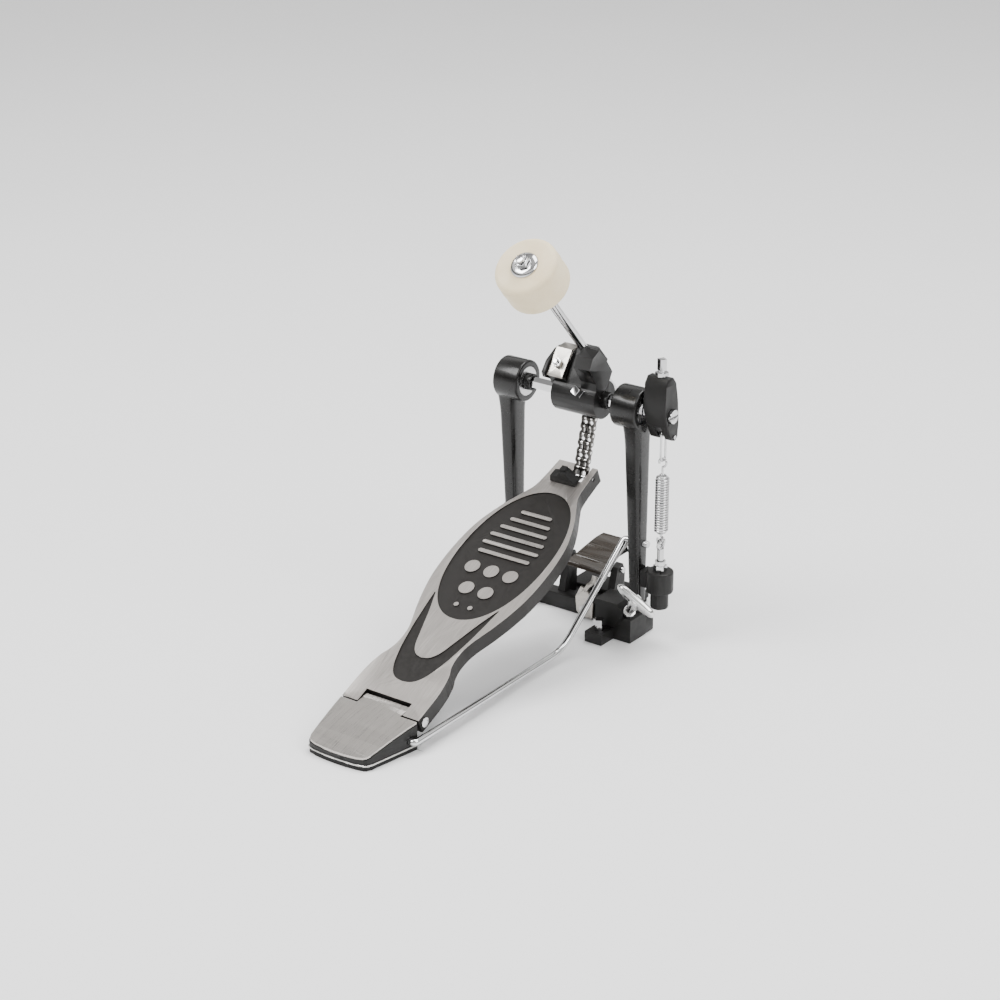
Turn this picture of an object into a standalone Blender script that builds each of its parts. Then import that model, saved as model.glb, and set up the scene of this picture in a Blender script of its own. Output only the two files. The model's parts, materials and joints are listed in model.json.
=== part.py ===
"""Bass drum pedal: a chain-driven single pedal that stands on the floor and clamps on a drum hoop.

+X is the player's right, +Y points at the drum, +Z is up.  Sizes are in millimetres times MM.
The model is laid out with Y = 0 at the axle.  One empty, pedal_origin, then carries it so that the
world origin is on the floor, at the middle of the base bar's underside.
"""
import math

import bmesh
import bpy
from mathutils import Matrix, Vector

MM = 0.001
GAP = 0.3 * MM                   # free gap between two pieces that touch

# Footboard and its hinge
BOARD_SLOPE = math.radians(23.2)
BOARD_LENGTH = 263 * MM
BOARD_DEPTH = 12 * MM
BOARD_SKIN = 4.5 * MM            # thickness over the hollow underside
BOARD_RIM = 4 * MM
BOARD_REAR_Z = 21.3 * MM         # height of the top surface at its heel end
RECESS_DEPTH = 0.9 * MM
HINGE_ALONG = 4.5 * MM           # hinge axis, from the heel end of the board
HINGE_BELOW = 5.6 * MM           # hinge axis, under the top surface
HINGE_PIN_R = 2.2 * MM
EAR_HALF_WIDTH = 33.6 * MM
NOTCH_HALF_WIDTH = 20 * MM
NOTCH_LENGTH = 11.8 * MM
TOE_HALF_WIDTH = 17.2 * MM
DOT_R = 5.9 * MM
SMALL_DOT_R = 1.9 * MM

# Chain and cam
PITCH = 6.35 * MM
PITCH_R = 17.4 * MM              # radius of the pin circle on the cam
DROP_LINKS = 10                  # links that hang free between cam and footboard
LEAVE_ANGLE = math.radians(-14.2)
FREE_LINKS = 3                   # links that leave the cam during a stroke
WRAP_LINKS = 1                   # links that stay on the cam
LINK_END_GAP = 0.6 * MM          # free end of each stretch of chain, short of the shared pin
CHAIN_X = 6 * MM
CHAIN_HALF_WIDTH = 5.7 * MM
LINK_HALF_HEIGHT = 2.6 * MM
LINK_WAIST = 1.9 * MM
LINK_END = 0.62                  # how far a lobe reaches past its pin, of its half height
LINK_PLATE = 1.3 * MM
CHAIN_PIN_R = 1.2 * MM
ANCHOR_ALONG = BOARD_LENGTH - 7.9 * MM   # chain anchor pin, from the heel end of the board
ANCHOR_BELOW = 3.6 * MM
SLOT_SIDE = 1.0 * MM             # room beside the chain in its slot
SLOT_FRONT = 8.5 * MM            # room for the chain towards the heel

# Axle, hub and bearings
AXLE_FLATS = 8.4 * MM
AXLE_LEFT_X = -61 * MM
AXLE_RIGHT_X = 84 * MM
BORE_CLEARANCE = 0.35 * MM
HUB_R = 14.5 * MM
HUB_LEFT_X = -11 * MM
HUB_RIGHT_X = 27 * MM
BARREL_R = 15.9 * MM
BARREL_LENGTH = 21.8 * MM
BARREL_X = 52.3 * MM             # middle of a bearing barrel
BEARING_R = 11 * MM
BEARING_LENGTH = 7 * MM
COLLAR_LENGTH = 5 * MM
COLLAR_R = 6.4 * MM

# Posts
POST_X = 56 * MM
POST_TOP_X = 14 * MM
POST_TOP_Y = 19.5 * MM
POST_FOOT_X = 9.6 * MM
POST_FOOT_Y = 10 * MM
POST_LEAN_Y = 5.2 * MM           # how far the foot stands behind the barrel

# Beater
BEATER_LEAN = math.radians(42.5)
ROD_OFFSET = 26 * MM             # beater rod's distance from the axle
ROD_R = 3.3 * MM
ROD_X = 6 * MM
ROD_LOW = -36 * MM               # ends of the rod, along it from its nearest point to the axle
ROD_HIGH = 144 * MM
FELT_R = 24 * MM
FELT_HEIGHT = 29 * MM
FELT_LOW = 106 * MM
WASHER_R = 10.5 * MM

# Spring side
ROCKER_LEFT_X = 66.5 * MM
ROCKER_RIGHT_X = 85 * MM
SPRING_X = 76 * MM
SPRING_Y = 4.5 * MM
ROCKER_PIN_DROP = 17.5 * MM      # spring pin, below the axle
COIL_TOP_Z = 136 * MM
COIL_BOTTOM_Z = 88 * MM
COIL_R = 5.3 * MM
EYE_Z = 80 * MM
EYE_R = 3.6 * MM
SPRING_WIRE_R = 0.8 * MM
SPRING_PIN_R = 1.5 * MM
HOOK_R = 3.1 * MM
UPPER_HOOK_Z = 145 * MM
BOSS_R = 10.2 * MM
BOSS_LOW_Z = 42 * MM
BOSS_HIGH_Z = 59 * MM
EYE_BOLT_R = 2.5 * MM
KNOB_R = 6.8 * MM
KNOB_LOW_Z = 29 * MM

# Base
BAR_FRONT_Y = 10 * MM
BAR_BACK_Y = 22 * MM
BAR_HEIGHT = 12.5 * MM
BLOCK_LEFT_X = 28.7 * MM
BLOCK_RIGHT_X = 60.5 * MM
BLOCK_HALF_Y = 10.5 * MM
BLOCK_HEIGHT = 29 * MM
BLOCK_CHAMFER_X = 12.5 * MM
BLOCK_CHAMFER_Z = 10.7 * MM
LEFT_BLOCK_WIDTH = 16 * MM
FOOT_WIDTH = 15 * MM
FOOT_LENGTH = 16 * MM
FOOT_HEIGHT = 8.5 * MM
SPIKE_R = 3 * MM
DECK_BACK_Y = 62 * MM
DECK_HALF_X = 30 * MM
DECK_TOP_Z = 9 * MM
GRIP_HEIGHT = 3 * MM
PAD_HEIGHT = 3 * MM
LUG_THICK = 6 * MM
JAW_LEFT_X = -15.6 * MM
JAW_RIGHT_X = 20.4 * MM
JAW_PIVOT_Y = 27 * MM
JAW_PIVOT_Z = 38.5 * MM
JAW_PIN_R = 2.2 * MM
JAW_THICK = 3 * MM
JAW_FRONT_Y = 12.5 * MM
JAW_BACK_Y = 58 * MM
JAW_FRONT_Z = 40 * MM
JAW_RISE = 9 * MM

# Heel
HEEL_LENGTH = 50.5 * MM
HEEL_FRONT_HALF = 34 * MM
HEEL_BACK_HALF = 25.4 * MM
HEEL_PAD_HEIGHT = 3 * MM
HEEL_PLATE_HEIGHT = 1 * MM
HEEL_BACK_Z = 9 * MM
COVER_THICK = 1.6 * MM
HINGE_FREE = 1.6 * MM            # free gap between the heel and the footboard's ears

# Radius rods
RADIUS_ROD_R = 2.5 * MM
ROD_HEEL_X = 37.2 * MM
ROD_HEEL_BACK = 8.5 * MM         # rod hole in the heel, behind the footboard's heel end
ROD_FLOOR_Z = 9 * MM
ROD_BEND_Y = -65 * MM
ROD_PIVOT_Y = 4 * MM
ROD_PIVOT_Z = 77 * MM
ROD_TOP_X = 44.5 * MM
ROD_TIP_X = 65.5 * MM

# Details
WING_SHAFT_R = 3.5 * MM
WING_LENGTH = 35.6 * MM
WING_THICK = 6.4 * MM
WING_OUT = 29.4 * MM             # middle of the wings, from the block's chamfer
WING_Y = -7.2 * MM
WING_IN = 0.368                  # share of the chamfer's width between the bolt and the block's side
WING_CENTRE = Vector((BLOCK_RIGHT_X - BLOCK_CHAMFER_X * WING_IN, WING_Y,
                      BLOCK_HEIGHT - BLOCK_CHAMFER_Z * (1 - WING_IN)))
WING_LINE = Vector((0.821, 0.139, -0.554)).normalized()
WING_AXIS = (Vector((0.54, -0.5, 0.68)) - WING_LINE * Vector((0.54, -0.5, 0.68)).dot(WING_LINE)).normalized()
LEVER_PIVOT = Vector((7.5 * MM, BAR_FRONT_Y - 3 * MM, 8 * MM))
OVAL_MIDDLE = 160.5 * MM
OVAL_HALF_LENGTH = 68.5 * MM
OVAL_HALF_WIDTH = 37.3 * MM
SCREW_R = 1.8 * MM
KEY_ANGLE = math.radians(152)
KEY_X = 13.5 * MM

# Derived positions (Y, Z), in the axle's layout
ACROSS = Vector((-math.sin(BOARD_SLOPE), math.cos(BOARD_SLOPE)))
ALONG = Vector((math.cos(BOARD_SLOPE), math.sin(BOARD_SLOPE)))
ANCHOR_FROM_REAR = ALONG * ANCHOR_ALONG - ACROSS * ANCHOR_BELOW
LEAVE_DIR = Vector((math.cos(LEAVE_ANGLE), math.sin(LEAVE_ANGLE)))
CHAIN_DIR = Vector((-math.sin(LEAVE_ANGLE), math.cos(LEAVE_ANGLE)))
AXLE_FROM_REAR = ANCHOR_FROM_REAR + CHAIN_DIR * (DROP_LINKS * PITCH) - LEAVE_DIR * PITCH_R
BOARD_REAR = Vector((-AXLE_FROM_REAR.x, BOARD_REAR_Z))
AXLE_Z = BOARD_REAR_Z + AXLE_FROM_REAR.y
ANCHOR = BOARD_REAR + ANCHOR_FROM_REAR
HINGE = BOARD_REAR + ALONG * HINGE_ALONG - ACROSS * HINGE_BELOW
ROD_DIR = Vector((-math.sin(BEATER_LEAN), math.cos(BEATER_LEAN)))
ROD_NORMAL = Vector((math.cos(BEATER_LEAN), math.sin(BEATER_LEAN)))
ROD_FOOT = Vector((0, AXLE_Z)) + ROD_NORMAL * ROD_OFFSET
BORE_R = AXLE_FLATS / math.sqrt(3) + BORE_CLEARANCE
BEARING_IN_X = BARREL_X - BARREL_LENGTH / 2

PAINTED = ((0.02, 0.02, 0.022), 0.35, 0.3)
CAST = ((0.03, 0.03, 0.032), 0.5, 0.3)
CHROME = ((0.82, 0.82, 0.83), 0.12, 1.0)
STEEL = ((0.55, 0.55, 0.56), 0.3, 1.0)
BRUSHED = ((0.62, 0.6, 0.58), 0.38, 1.0)
RUBBER = ((0.025, 0.025, 0.025), 0.8, 0.0)
FELT = ((0.86, 0.78, 0.58), 0.95, 0.0)

for old in list(bpy.data.objects):
    bpy.data.objects.remove(old)

PARTS = bpy.data.collections.new("bass_drum_pedal")
CUTTERS = bpy.data.collections.new("cutters")
bpy.context.scene.collection.children.link(PARTS)
bpy.context.scene.collection.children.link(CUTTERS)


def add_empty(name, location, parent):
    empty = bpy.data.objects.new(name, None)
    empty.location = location
    empty.parent = parent
    PARTS.objects.link(empty)
    return empty


ORIGIN = add_empty("pedal_origin", (0, -(BAR_FRONT_Y + BAR_BACK_Y) / 2, 0), None)


def axis_empty(name, point):
    """An empty on a joint's axis; its pieces keep the layout's coordinates."""
    return add_empty(name, point, ORIGIN)


def material(name, look):
    colour, roughness, metallic = look
    result = bpy.data.materials.new(name)
    result.use_nodes = True
    shader = result.node_tree.nodes["Principled BSDF"]
    shader.inputs["Base Color"].default_value = (*colour, 1)
    shader.inputs["Roughness"].default_value = roughness
    shader.inputs["Metallic"].default_value = metallic
    return result


def hold(obj, parent):
    """Parent an object without moving its mesh out of the layout's coordinates."""
    obj.parent = parent
    if parent is not ORIGIN:
        obj.location = -parent.location


def finish(obj, look, parent=ORIGIN, bevel=0):
    """Make an object a named piece: round its edges, shade it and give it its own material."""
    if bevel:
        add_bevel(obj, bevel)
    obj.data.materials.clear()
    obj.data.materials.append(material(obj.name, look))
    obj.data.shade_smooth()
    obj.data.set_sharp_from_angle(angle=math.radians(35))
    CUTTERS.objects.unlink(obj)
    PARTS.objects.link(obj)
    obj.hide_render = False
    obj.display_type = "TEXTURED"
    hold(obj, parent)
    return obj


def blank(name, mesh):
    """A working object; it stays a cutter unless finish() makes it a piece."""
    obj = bpy.data.objects.new(name, mesh)
    obj.hide_render = True
    obj.display_type = "WIRE"
    obj.parent = ORIGIN
    CUTTERS.objects.link(obj)
    return obj


def from_bmesh(name, bm):
    mesh = bpy.data.meshes.new(name)
    bm.to_mesh(mesh)
    bm.free()
    return blank(name, mesh)


def box(name, low, high):
    bm = bmesh.new()
    bmesh.ops.create_cube(bm, size=1)
    low = Vector(low)
    high = Vector(high)
    bmesh.ops.scale(bm, vec=high - low, verts=bm.verts)
    bmesh.ops.translate(bm, vec=(low + high) / 2, verts=bm.verts)
    return from_bmesh(name, bm)


def aim(start, end):
    """The matrix that lays the local Z axis from start to end, at their middle."""
    start = Vector(start)
    end = Vector(end)
    turn = (end - start).to_track_quat("Z", "Y").to_matrix().to_4x4()
    return Matrix.Translation((start + end) / 2) @ turn


def rod(name, start, end, radius, sides=24, end_radius=None, turn=0):
    """A straight round, square or hexagonal bar between two points."""
    bm = bmesh.new()
    if end_radius is None:
        end_radius = radius
    length = (Vector(end) - Vector(start)).length
    matrix = aim(start, end) @ Matrix.Rotation(turn, 4, "Z")
    bmesh.ops.create_cone(bm, cap_ends=True, segments=sides, radius1=radius, radius2=end_radius,
                          depth=length, matrix=matrix)
    return from_bmesh(name, bm)


def mesh_of(name, source):
    """Turn a curve or a modified object into a plain closed mesh object."""
    bpy.context.view_layer.update()
    graph = bpy.context.evaluated_depsgraph_get()
    mesh = bpy.data.meshes.new_from_object(source.evaluated_get(graph))
    bpy.data.objects.remove(source)
    bm = bmesh.new()
    bm.from_mesh(mesh)
    bmesh.ops.remove_doubles(bm, verts=bm.verts, dist=0.002 * MM)
    bm.to_mesh(mesh)
    bm.free()
    mesh.name = name
    return blank(name, mesh)


def flat(name, outline, low, high, frame, smooth=False, detail=4):
    """An outline of (u, v) points, extruded from low to high along the frame's third axis."""
    curve = bpy.data.curves.new(name, "CURVE")
    curve.dimensions = "2D"
    curve.fill_mode = "BOTH"
    curve.extrude = (high - low) / 2
    if smooth:
        spline = curve.splines.new("BEZIER")
        spline.bezier_points.add(len(outline) - 1)
        for point, place in zip(spline.bezier_points, outline):
            point.co = (place[0], place[1], 0)
            point.handle_left_type = "AUTO"
            point.handle_right_type = "AUTO"
        spline.resolution_u = detail
    else:
        spline = curve.splines.new("POLY")
        spline.points.add(len(outline) - 1)
        for point, place in zip(spline.points, outline):
            point.co = (place[0], place[1], 0, 1)
    spline.use_cyclic_u = True
    source = bpy.data.objects.new(name, curve)
    CUTTERS.objects.link(source)
    obj = mesh_of(name, source)
    obj.data.transform(frame @ Matrix.Translation((0, 0, (low + high) / 2)))
    return obj


def wire(name, points, radius, sides=8, closed=False):
    """A bent round wire through the points."""
    curve = bpy.data.curves.new(name, "CURVE")
    curve.dimensions = "3D"
    curve.bevel_depth = radius
    curve.bevel_resolution = (sides - 4) // 2
    curve.use_fill_caps = True
    spline = curve.splines.new("POLY")
    spline.points.add(len(points) - 1)
    for point, place in zip(spline.points, points):
        point.co = (*place, 1)
    spline.use_cyclic_u = closed
    source = bpy.data.objects.new(name, curve)
    CUTTERS.objects.link(source)
    return mesh_of(name, source)


def turned(name, profile, start, end, steps=32):
    """A profile of (radius, height) points, from top to bottom, turned round the line start-end."""
    mesh = bpy.data.meshes.new(name)
    points = [(radius, 0, height) for radius, height in profile]
    edges = [(index, index + 1) for index in range(len(points) - 1)]
    mesh.from_pydata(points, edges, [])
    source = blank(name + "_profile", mesh)
    screw = source.modifiers.new("screw", "SCREW")
    screw.steps = steps
    screw.render_steps = steps
    screw.use_merge_vertices = True
    screw.merge_threshold = 0.005 * MM
    obj = mesh_of(name, source)
    turn = (Vector(end) - Vector(start)).to_track_quat("Z", "Y").to_matrix().to_4x4()
    obj.data.transform(Matrix.Translation(Vector(start)) @ turn)
    return obj


def add_bevel(obj, width, segments=2):
    bevel = obj.modifiers.new("rounding", "BEVEL")
    bevel.width = width
    bevel.segments = segments
    bevel.limit_method = "ANGLE"
    bevel.angle_limit = math.radians(40)


def combine(obj, others, operation):
    for other in others:
        modifier = obj.modifiers.new(operation.lower(), "BOOLEAN")
        modifier.operation = operation
        modifier.object = other


def cut(obj, *others):
    combine(obj, others, "DIFFERENCE")


def join(obj, *others):
    combine(obj, others, "UNION")


# Frames for flat outlines: in each, (u, v, w) is laid on the named directions.
SIDE = Matrix(((0, 0, 1, 0), (1, 0, 0, 0), (0, 1, 0, 0), (0, 0, 0, 1)))     # u = Y, v = Z, w = X
FRONT = Matrix(((1, 0, 0, 0), (0, 0, -1, 0), (0, 1, 0, 0), (0, 0, 0, 1)))   # u = X, v = Z, w = -Y
PLAN = Matrix.Identity(4)                                                   # u = X, v = Y, w = Z
AXLE_SIDE = Matrix.Translation((0, 0, AXLE_Z)) @ SIDE


def board_frame():
    """u = X, v = along the footboard from its heel end, w = up from its top surface."""
    turn = Matrix.Rotation(BOARD_SLOPE, 4, "X")
    return Matrix.Translation((0, BOARD_REAR.x, BOARD_REAR.y)) @ turn


BOARD = board_frame()


def on_board(x, along, above):
    return BOARD @ Vector((x, along, above))


def on_beater(x, along, outward=0):
    """A point beside the beater rod: along it, and outward from the axle."""
    place = ROD_FOOT + ROD_DIR * along + ROD_NORMAL * outward
    return Vector((x, place.x, place.y))


def on_cam(x, radius, angle):
    return Vector((x, radius * math.cos(angle), AXLE_Z + radius * math.sin(angle)))


# ---------------------------------------------------------------- base

def base_casting():
    """Bar, right and left blocks, spike feet, hoop deck and jaw lugs, cast in one."""
    casting = box("base_casting", (-BLOCK_RIGHT_X, BAR_FRONT_Y, 0),
                  (BLOCK_RIGHT_X, BAR_BACK_Y, BAR_HEIGHT))
    block_outline = [
        (BLOCK_LEFT_X, 0),
        (BLOCK_RIGHT_X, 0),
        (BLOCK_RIGHT_X, BLOCK_HEIGHT - BLOCK_CHAMFER_Z),
        (BLOCK_RIGHT_X - BLOCK_CHAMFER_X, BLOCK_HEIGHT),
        (BLOCK_LEFT_X, BLOCK_HEIGHT),
    ]
    right_block = flat("right_block", block_outline, -BAR_FRONT_Y - 1 * MM, BLOCK_HALF_Y, FRONT)
    left_block = box("left_block", (-BLOCK_RIGHT_X, -BLOCK_HALF_Y, 0),
                     (LEFT_BLOCK_WIDTH - BLOCK_RIGHT_X, BAR_FRONT_Y + 1 * MM, BLOCK_HEIGHT))
    feet = [
        box("right_foot", (BLOCK_LEFT_X + 1.6 * MM, -BLOCK_HALF_Y - FOOT_LENGTH, 0),
            (BLOCK_LEFT_X + 1.6 * MM + FOOT_WIDTH, 1 * MM - BLOCK_HALF_Y, FOOT_HEIGHT)),
        box("left_foot", (-BLOCK_RIGHT_X, -BLOCK_HALF_Y - FOOT_LENGTH, 0),
            (FOOT_WIDTH - BLOCK_RIGHT_X, 1 * MM - BLOCK_HALF_Y, FOOT_HEIGHT)),
    ]
    deck = box("deck", (-DECK_HALF_X, BAR_BACK_Y - 1 * MM, GRIP_HEIGHT + GAP),
               (DECK_HALF_X, DECK_BACK_Y, DECK_TOP_Z))
    lugs = []
    for side, x in (("left", JAW_LEFT_X - GAP * 3 - LUG_THICK), ("right", JAW_RIGHT_X + GAP * 3)):
        lug_outline = [
            (BAR_FRONT_Y + 4 * MM, BAR_HEIGHT - 1 * MM),
            (BAR_BACK_Y + 9 * MM, BAR_HEIGHT - 5 * MM),
            (JAW_PIVOT_Y + 5 * MM, JAW_PIVOT_Z - 2 * MM),
            (JAW_PIVOT_Y + 2 * MM, JAW_PIVOT_Z + 4.5 * MM),
            (JAW_PIVOT_Y - 5 * MM, JAW_PIVOT_Z + 3 * MM),
        ]
        lugs.append(flat(side + "_lug", lug_outline, x, x + LUG_THICK, SIDE))
    join(casting, right_block, left_block, *feet, deck, *lugs)
    pin_hole = rod("jaw_pin_hole", (-DECK_HALF_X, JAW_PIVOT_Y, JAW_PIVOT_Z),
                   (DECK_HALF_X, JAW_PIVOT_Y, JAW_PIVOT_Z), JAW_PIN_R + GAP, 16)
    spike_holes = [rod(name, spike_point(side, -1 * MM), spike_point(side, FOOT_HEIGHT + 1 * MM),
                       SPIKE_R + GAP, 16)
                   for name, side in (("right_spike_hole", 1), ("left_spike_hole", -1))]
    bolt_hole = rod("wing_bolt_hole", wing_point(-19 * MM), wing_point(12 * MM),
                    WING_SHAFT_R + GAP * 2, 20)
    cut(casting, pin_hole, *spike_holes, bolt_hole)
    finish(casting, CAST, bevel=0.8 * MM)
    casting.modifiers.move(len(casting.modifiers) - 1, 0)


def spike_point(side, z):
    if side > 0:
        x = BLOCK_LEFT_X + 1.6 * MM + FOOT_WIDTH / 2
    else:
        x = FOOT_WIDTH / 2 - BLOCK_RIGHT_X
    return Vector((x, -BLOCK_HALF_Y - FOOT_LENGTH / 2, z))


def wing_point(out, across=0, sideways=0):
    """A point on the wing bolt: out along its axis from the block's chamfer."""
    return WING_CENTRE + WING_AXIS * out + WING_LINE * across + WING_AXIS.cross(WING_LINE) * sideways


def base_fittings():
    for side, name in ((1, "right_floor_spike"), (-1, "left_floor_spike")):
        spike = rod(name, spike_point(side, 2.5 * MM), spike_point(side, 14 * MM), SPIKE_R, 16)
        point = rod(name + "_tip", spike_point(side, 0.3 * MM), spike_point(side, 2.5 * MM),
                    0.4 * MM, 12, SPIKE_R)
        head = rod(name + "_head", spike_point(side, 13 * MM), spike_point(side, 17.5 * MM), 4.2 * MM, 6)
        join(spike, point, head)
        finish(spike, CHROME, axis_empty(name + "_axis", spike_point(side, 0)))
    grip = box("base_grip", (-DECK_HALF_X + 1 * MM, BAR_BACK_Y + 1 * MM, 0),
               (DECK_HALF_X - 1 * MM, DECK_BACK_Y - 1 * MM, GRIP_HEIGHT))
    finish(grip, RUBBER)
    pad = box("lower_jaw_pad", (-DECK_HALF_X + 3 * MM, BAR_BACK_Y + 14 * MM, DECK_TOP_Z + GAP),
              (DECK_HALF_X - 3 * MM, DECK_BACK_Y - 2 * MM, DECK_TOP_Z + GAP + PAD_HEIGHT))
    finish(pad, RUBBER, bevel=0.8 * MM)
    pin = rod("jaw_pivot_pin", (JAW_LEFT_X - LUG_THICK - 3 * MM, JAW_PIVOT_Y, JAW_PIVOT_Z),
              (JAW_RIGHT_X + LUG_THICK + 3 * MM, JAW_PIVOT_Y, JAW_PIVOT_Z), JAW_PIN_R, 16)
    finish(pin, CHROME)


def hoop_jaw():
    """The saddle that presses down on the drum hoop: an S-curved plate with pin lugs below."""
    hub = axis_empty("hoop_clamp_axis", (0, JAW_PIVOT_Y, JAW_PIVOT_Z))
    front = JAW_FRONT_Y
    back = JAW_BACK_Y
    steps = 12
    ys = [front + (back - front) * step / steps for step in range(steps + 1)]
    top = [(y, jaw_top(y)) for y in ys]
    under = [(y, z - JAW_THICK) for y, z in reversed(top)]
    jaw = flat("hoop_clamp_jaw", top + under, JAW_LEFT_X, JAW_RIGHT_X, SIDE)
    middle = (JAW_LEFT_X + JAW_RIGHT_X) / 2
    for vertex in jaw.data.vertices:
        share = (vertex.co.y - front) / (back - front)
        vertex.co.x = middle + (vertex.co.x - middle) * (1 - 0.3 * share)
    boss = rod("jaw_boss", (JAW_LEFT_X + 3 * MM, JAW_PIVOT_Y, JAW_PIVOT_Z),
               (JAW_RIGHT_X - 3 * MM, JAW_PIVOT_Y, JAW_PIVOT_Z), JAW_PIN_R + 2.2 * MM, 20)
    hole = rod("jaw_hole", (JAW_LEFT_X - 1 * MM, JAW_PIVOT_Y, JAW_PIVOT_Z),
               (JAW_RIGHT_X + 1 * MM, JAW_PIVOT_Y, JAW_PIVOT_Z), JAW_PIN_R + GAP, 16)
    join(jaw, boss)
    cut(jaw, hole)
    finish(jaw, PAINTED, hub)
    pad_ys = [back - 19 * MM + 17 * MM * step / 6 for step in range(7)]
    pad_outline = [(y, jaw_top(y) - JAW_THICK - GAP) for y in pad_ys]
    flat_z = jaw_top(pad_ys[0]) - JAW_THICK - 3 * MM
    pad_outline += [(pad_ys[-1], flat_z), (pad_ys[0], flat_z)]
    pad = flat("upper_jaw_pad", pad_outline, middle - 11 * MM, middle + 11 * MM, SIDE)
    finish(pad, RUBBER, hub)


def jaw_top(y):
    """Height of the saddle's S-curved top at Y."""
    share = (y - JAW_FRONT_Y) / (JAW_BACK_Y - JAW_FRONT_Y)
    return JAW_FRONT_Z + JAW_RISE * share * share * (3 - 2 * share)


def clamp_parts():
    """The wing bolt on the block's chamfer, and the bent lever that it works."""
    holder = axis_empty("wing_bolt_axis", WING_CENTRE)
    shaft = rod("wing_bolt", wing_point(-18 * MM), wing_point(WING_OUT - 5 * MM), WING_SHAFT_R, 20)
    collar = rod("wing_collar", wing_point(3.2 * MM), wing_point(8 * MM), 4.6 * MM, 20)
    body = rod("wing_body", wing_point(WING_OUT - 7 * MM), wing_point(WING_OUT + 4 * MM), 5 * MM, 20, 4 * MM)
    wing = wing_outline()
    join(shaft, collar, body, wing)
    finish(shaft, CHROME, holder)
    lever_axis = axis_empty("clamp_lever_axis", LEVER_PIVOT)
    outline = [
        (-0.5 * MM, 16.5 * MM), (0.5 * MM, 5 * MM), (4 * MM, 1.5 * MM), (15 * MM, 1.5 * MM),
        (15.5 * MM, 15 * MM), (9.5 * MM, 24.5 * MM), (4 * MM, 26 * MM),
    ]
    lever = flat("clamp_lever", outline, -LEVER_PIVOT.y - 1 * MM, 1 * MM - LEVER_PIVOT.y, FRONT)
    tab = wire("lever_tab", [(8 * MM, LEVER_PIVOT.y, 23 * MM), (11 * MM, LEVER_PIVOT.y, 28 * MM),
                             (14 * MM, LEVER_PIVOT.y + 1 * MM, 31 * MM),
                             (14.5 * MM, LEVER_PIVOT.y + 3 * MM, 35.5 * MM)], 2.2 * MM)
    hole = rod("lever_hole", LEVER_PIVOT - Vector((0, 4 * MM, 0)),
               LEVER_PIVOT + Vector((0, 4 * MM, 0)), 2 * MM + GAP, 16)
    join(lever, tab)
    cut(lever, hole)
    finish(lever, CHROME, lever_axis)
    ahead = Vector((0, 1 * MM, 0))
    rivet = rod("lever_rivet", LEVER_PIVOT - ahead * 1.5, LEVER_PIVOT + ahead * 2.7, 2 * MM, 16)
    head = rod("rivet_head", LEVER_PIVOT - ahead * 2.8, LEVER_PIVOT - ahead * 1.4, 3.4 * MM, 16)
    join(rivet, head)
    finish(rivet, STEEL)


def wing_outline():
    """The two rounded wings, an outline in the plane of the bolt's axis."""
    half = WING_LENGTH / 2
    half_outline = [(3 * MM, -6.5 * MM), (half - 7 * MM, -4 * MM), (half - 1 * MM, -1.5 * MM),
                    (half, 2 * MM), (half - 2 * MM, 5.5 * MM), (half - 7 * MM, 6.6 * MM),
                    (4 * MM, 7 * MM)]
    outline = half_outline + [(-across, out) for across, out in reversed(half_outline)]
    origin = wing_point(WING_OUT)
    across_dir = (wing_point(WING_OUT, 1) - origin)
    side_dir = (wing_point(WING_OUT, 0, 1) - origin)
    frame = Matrix((
        (across_dir.x, WING_AXIS.x, side_dir.x, origin.x),
        (across_dir.y, WING_AXIS.y, side_dir.y, origin.y),
        (across_dir.z, WING_AXIS.z, side_dir.z, origin.z),
        (0, 0, 0, 1),
    ))
    wing = flat("wing_plate", outline, -WING_THICK / 2, WING_THICK / 2, frame)
    if frame.determinant() < 0:
        wing.data.flip_normals()
    return wing


# ---------------------------------------------------------------- posts and bearings

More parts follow.
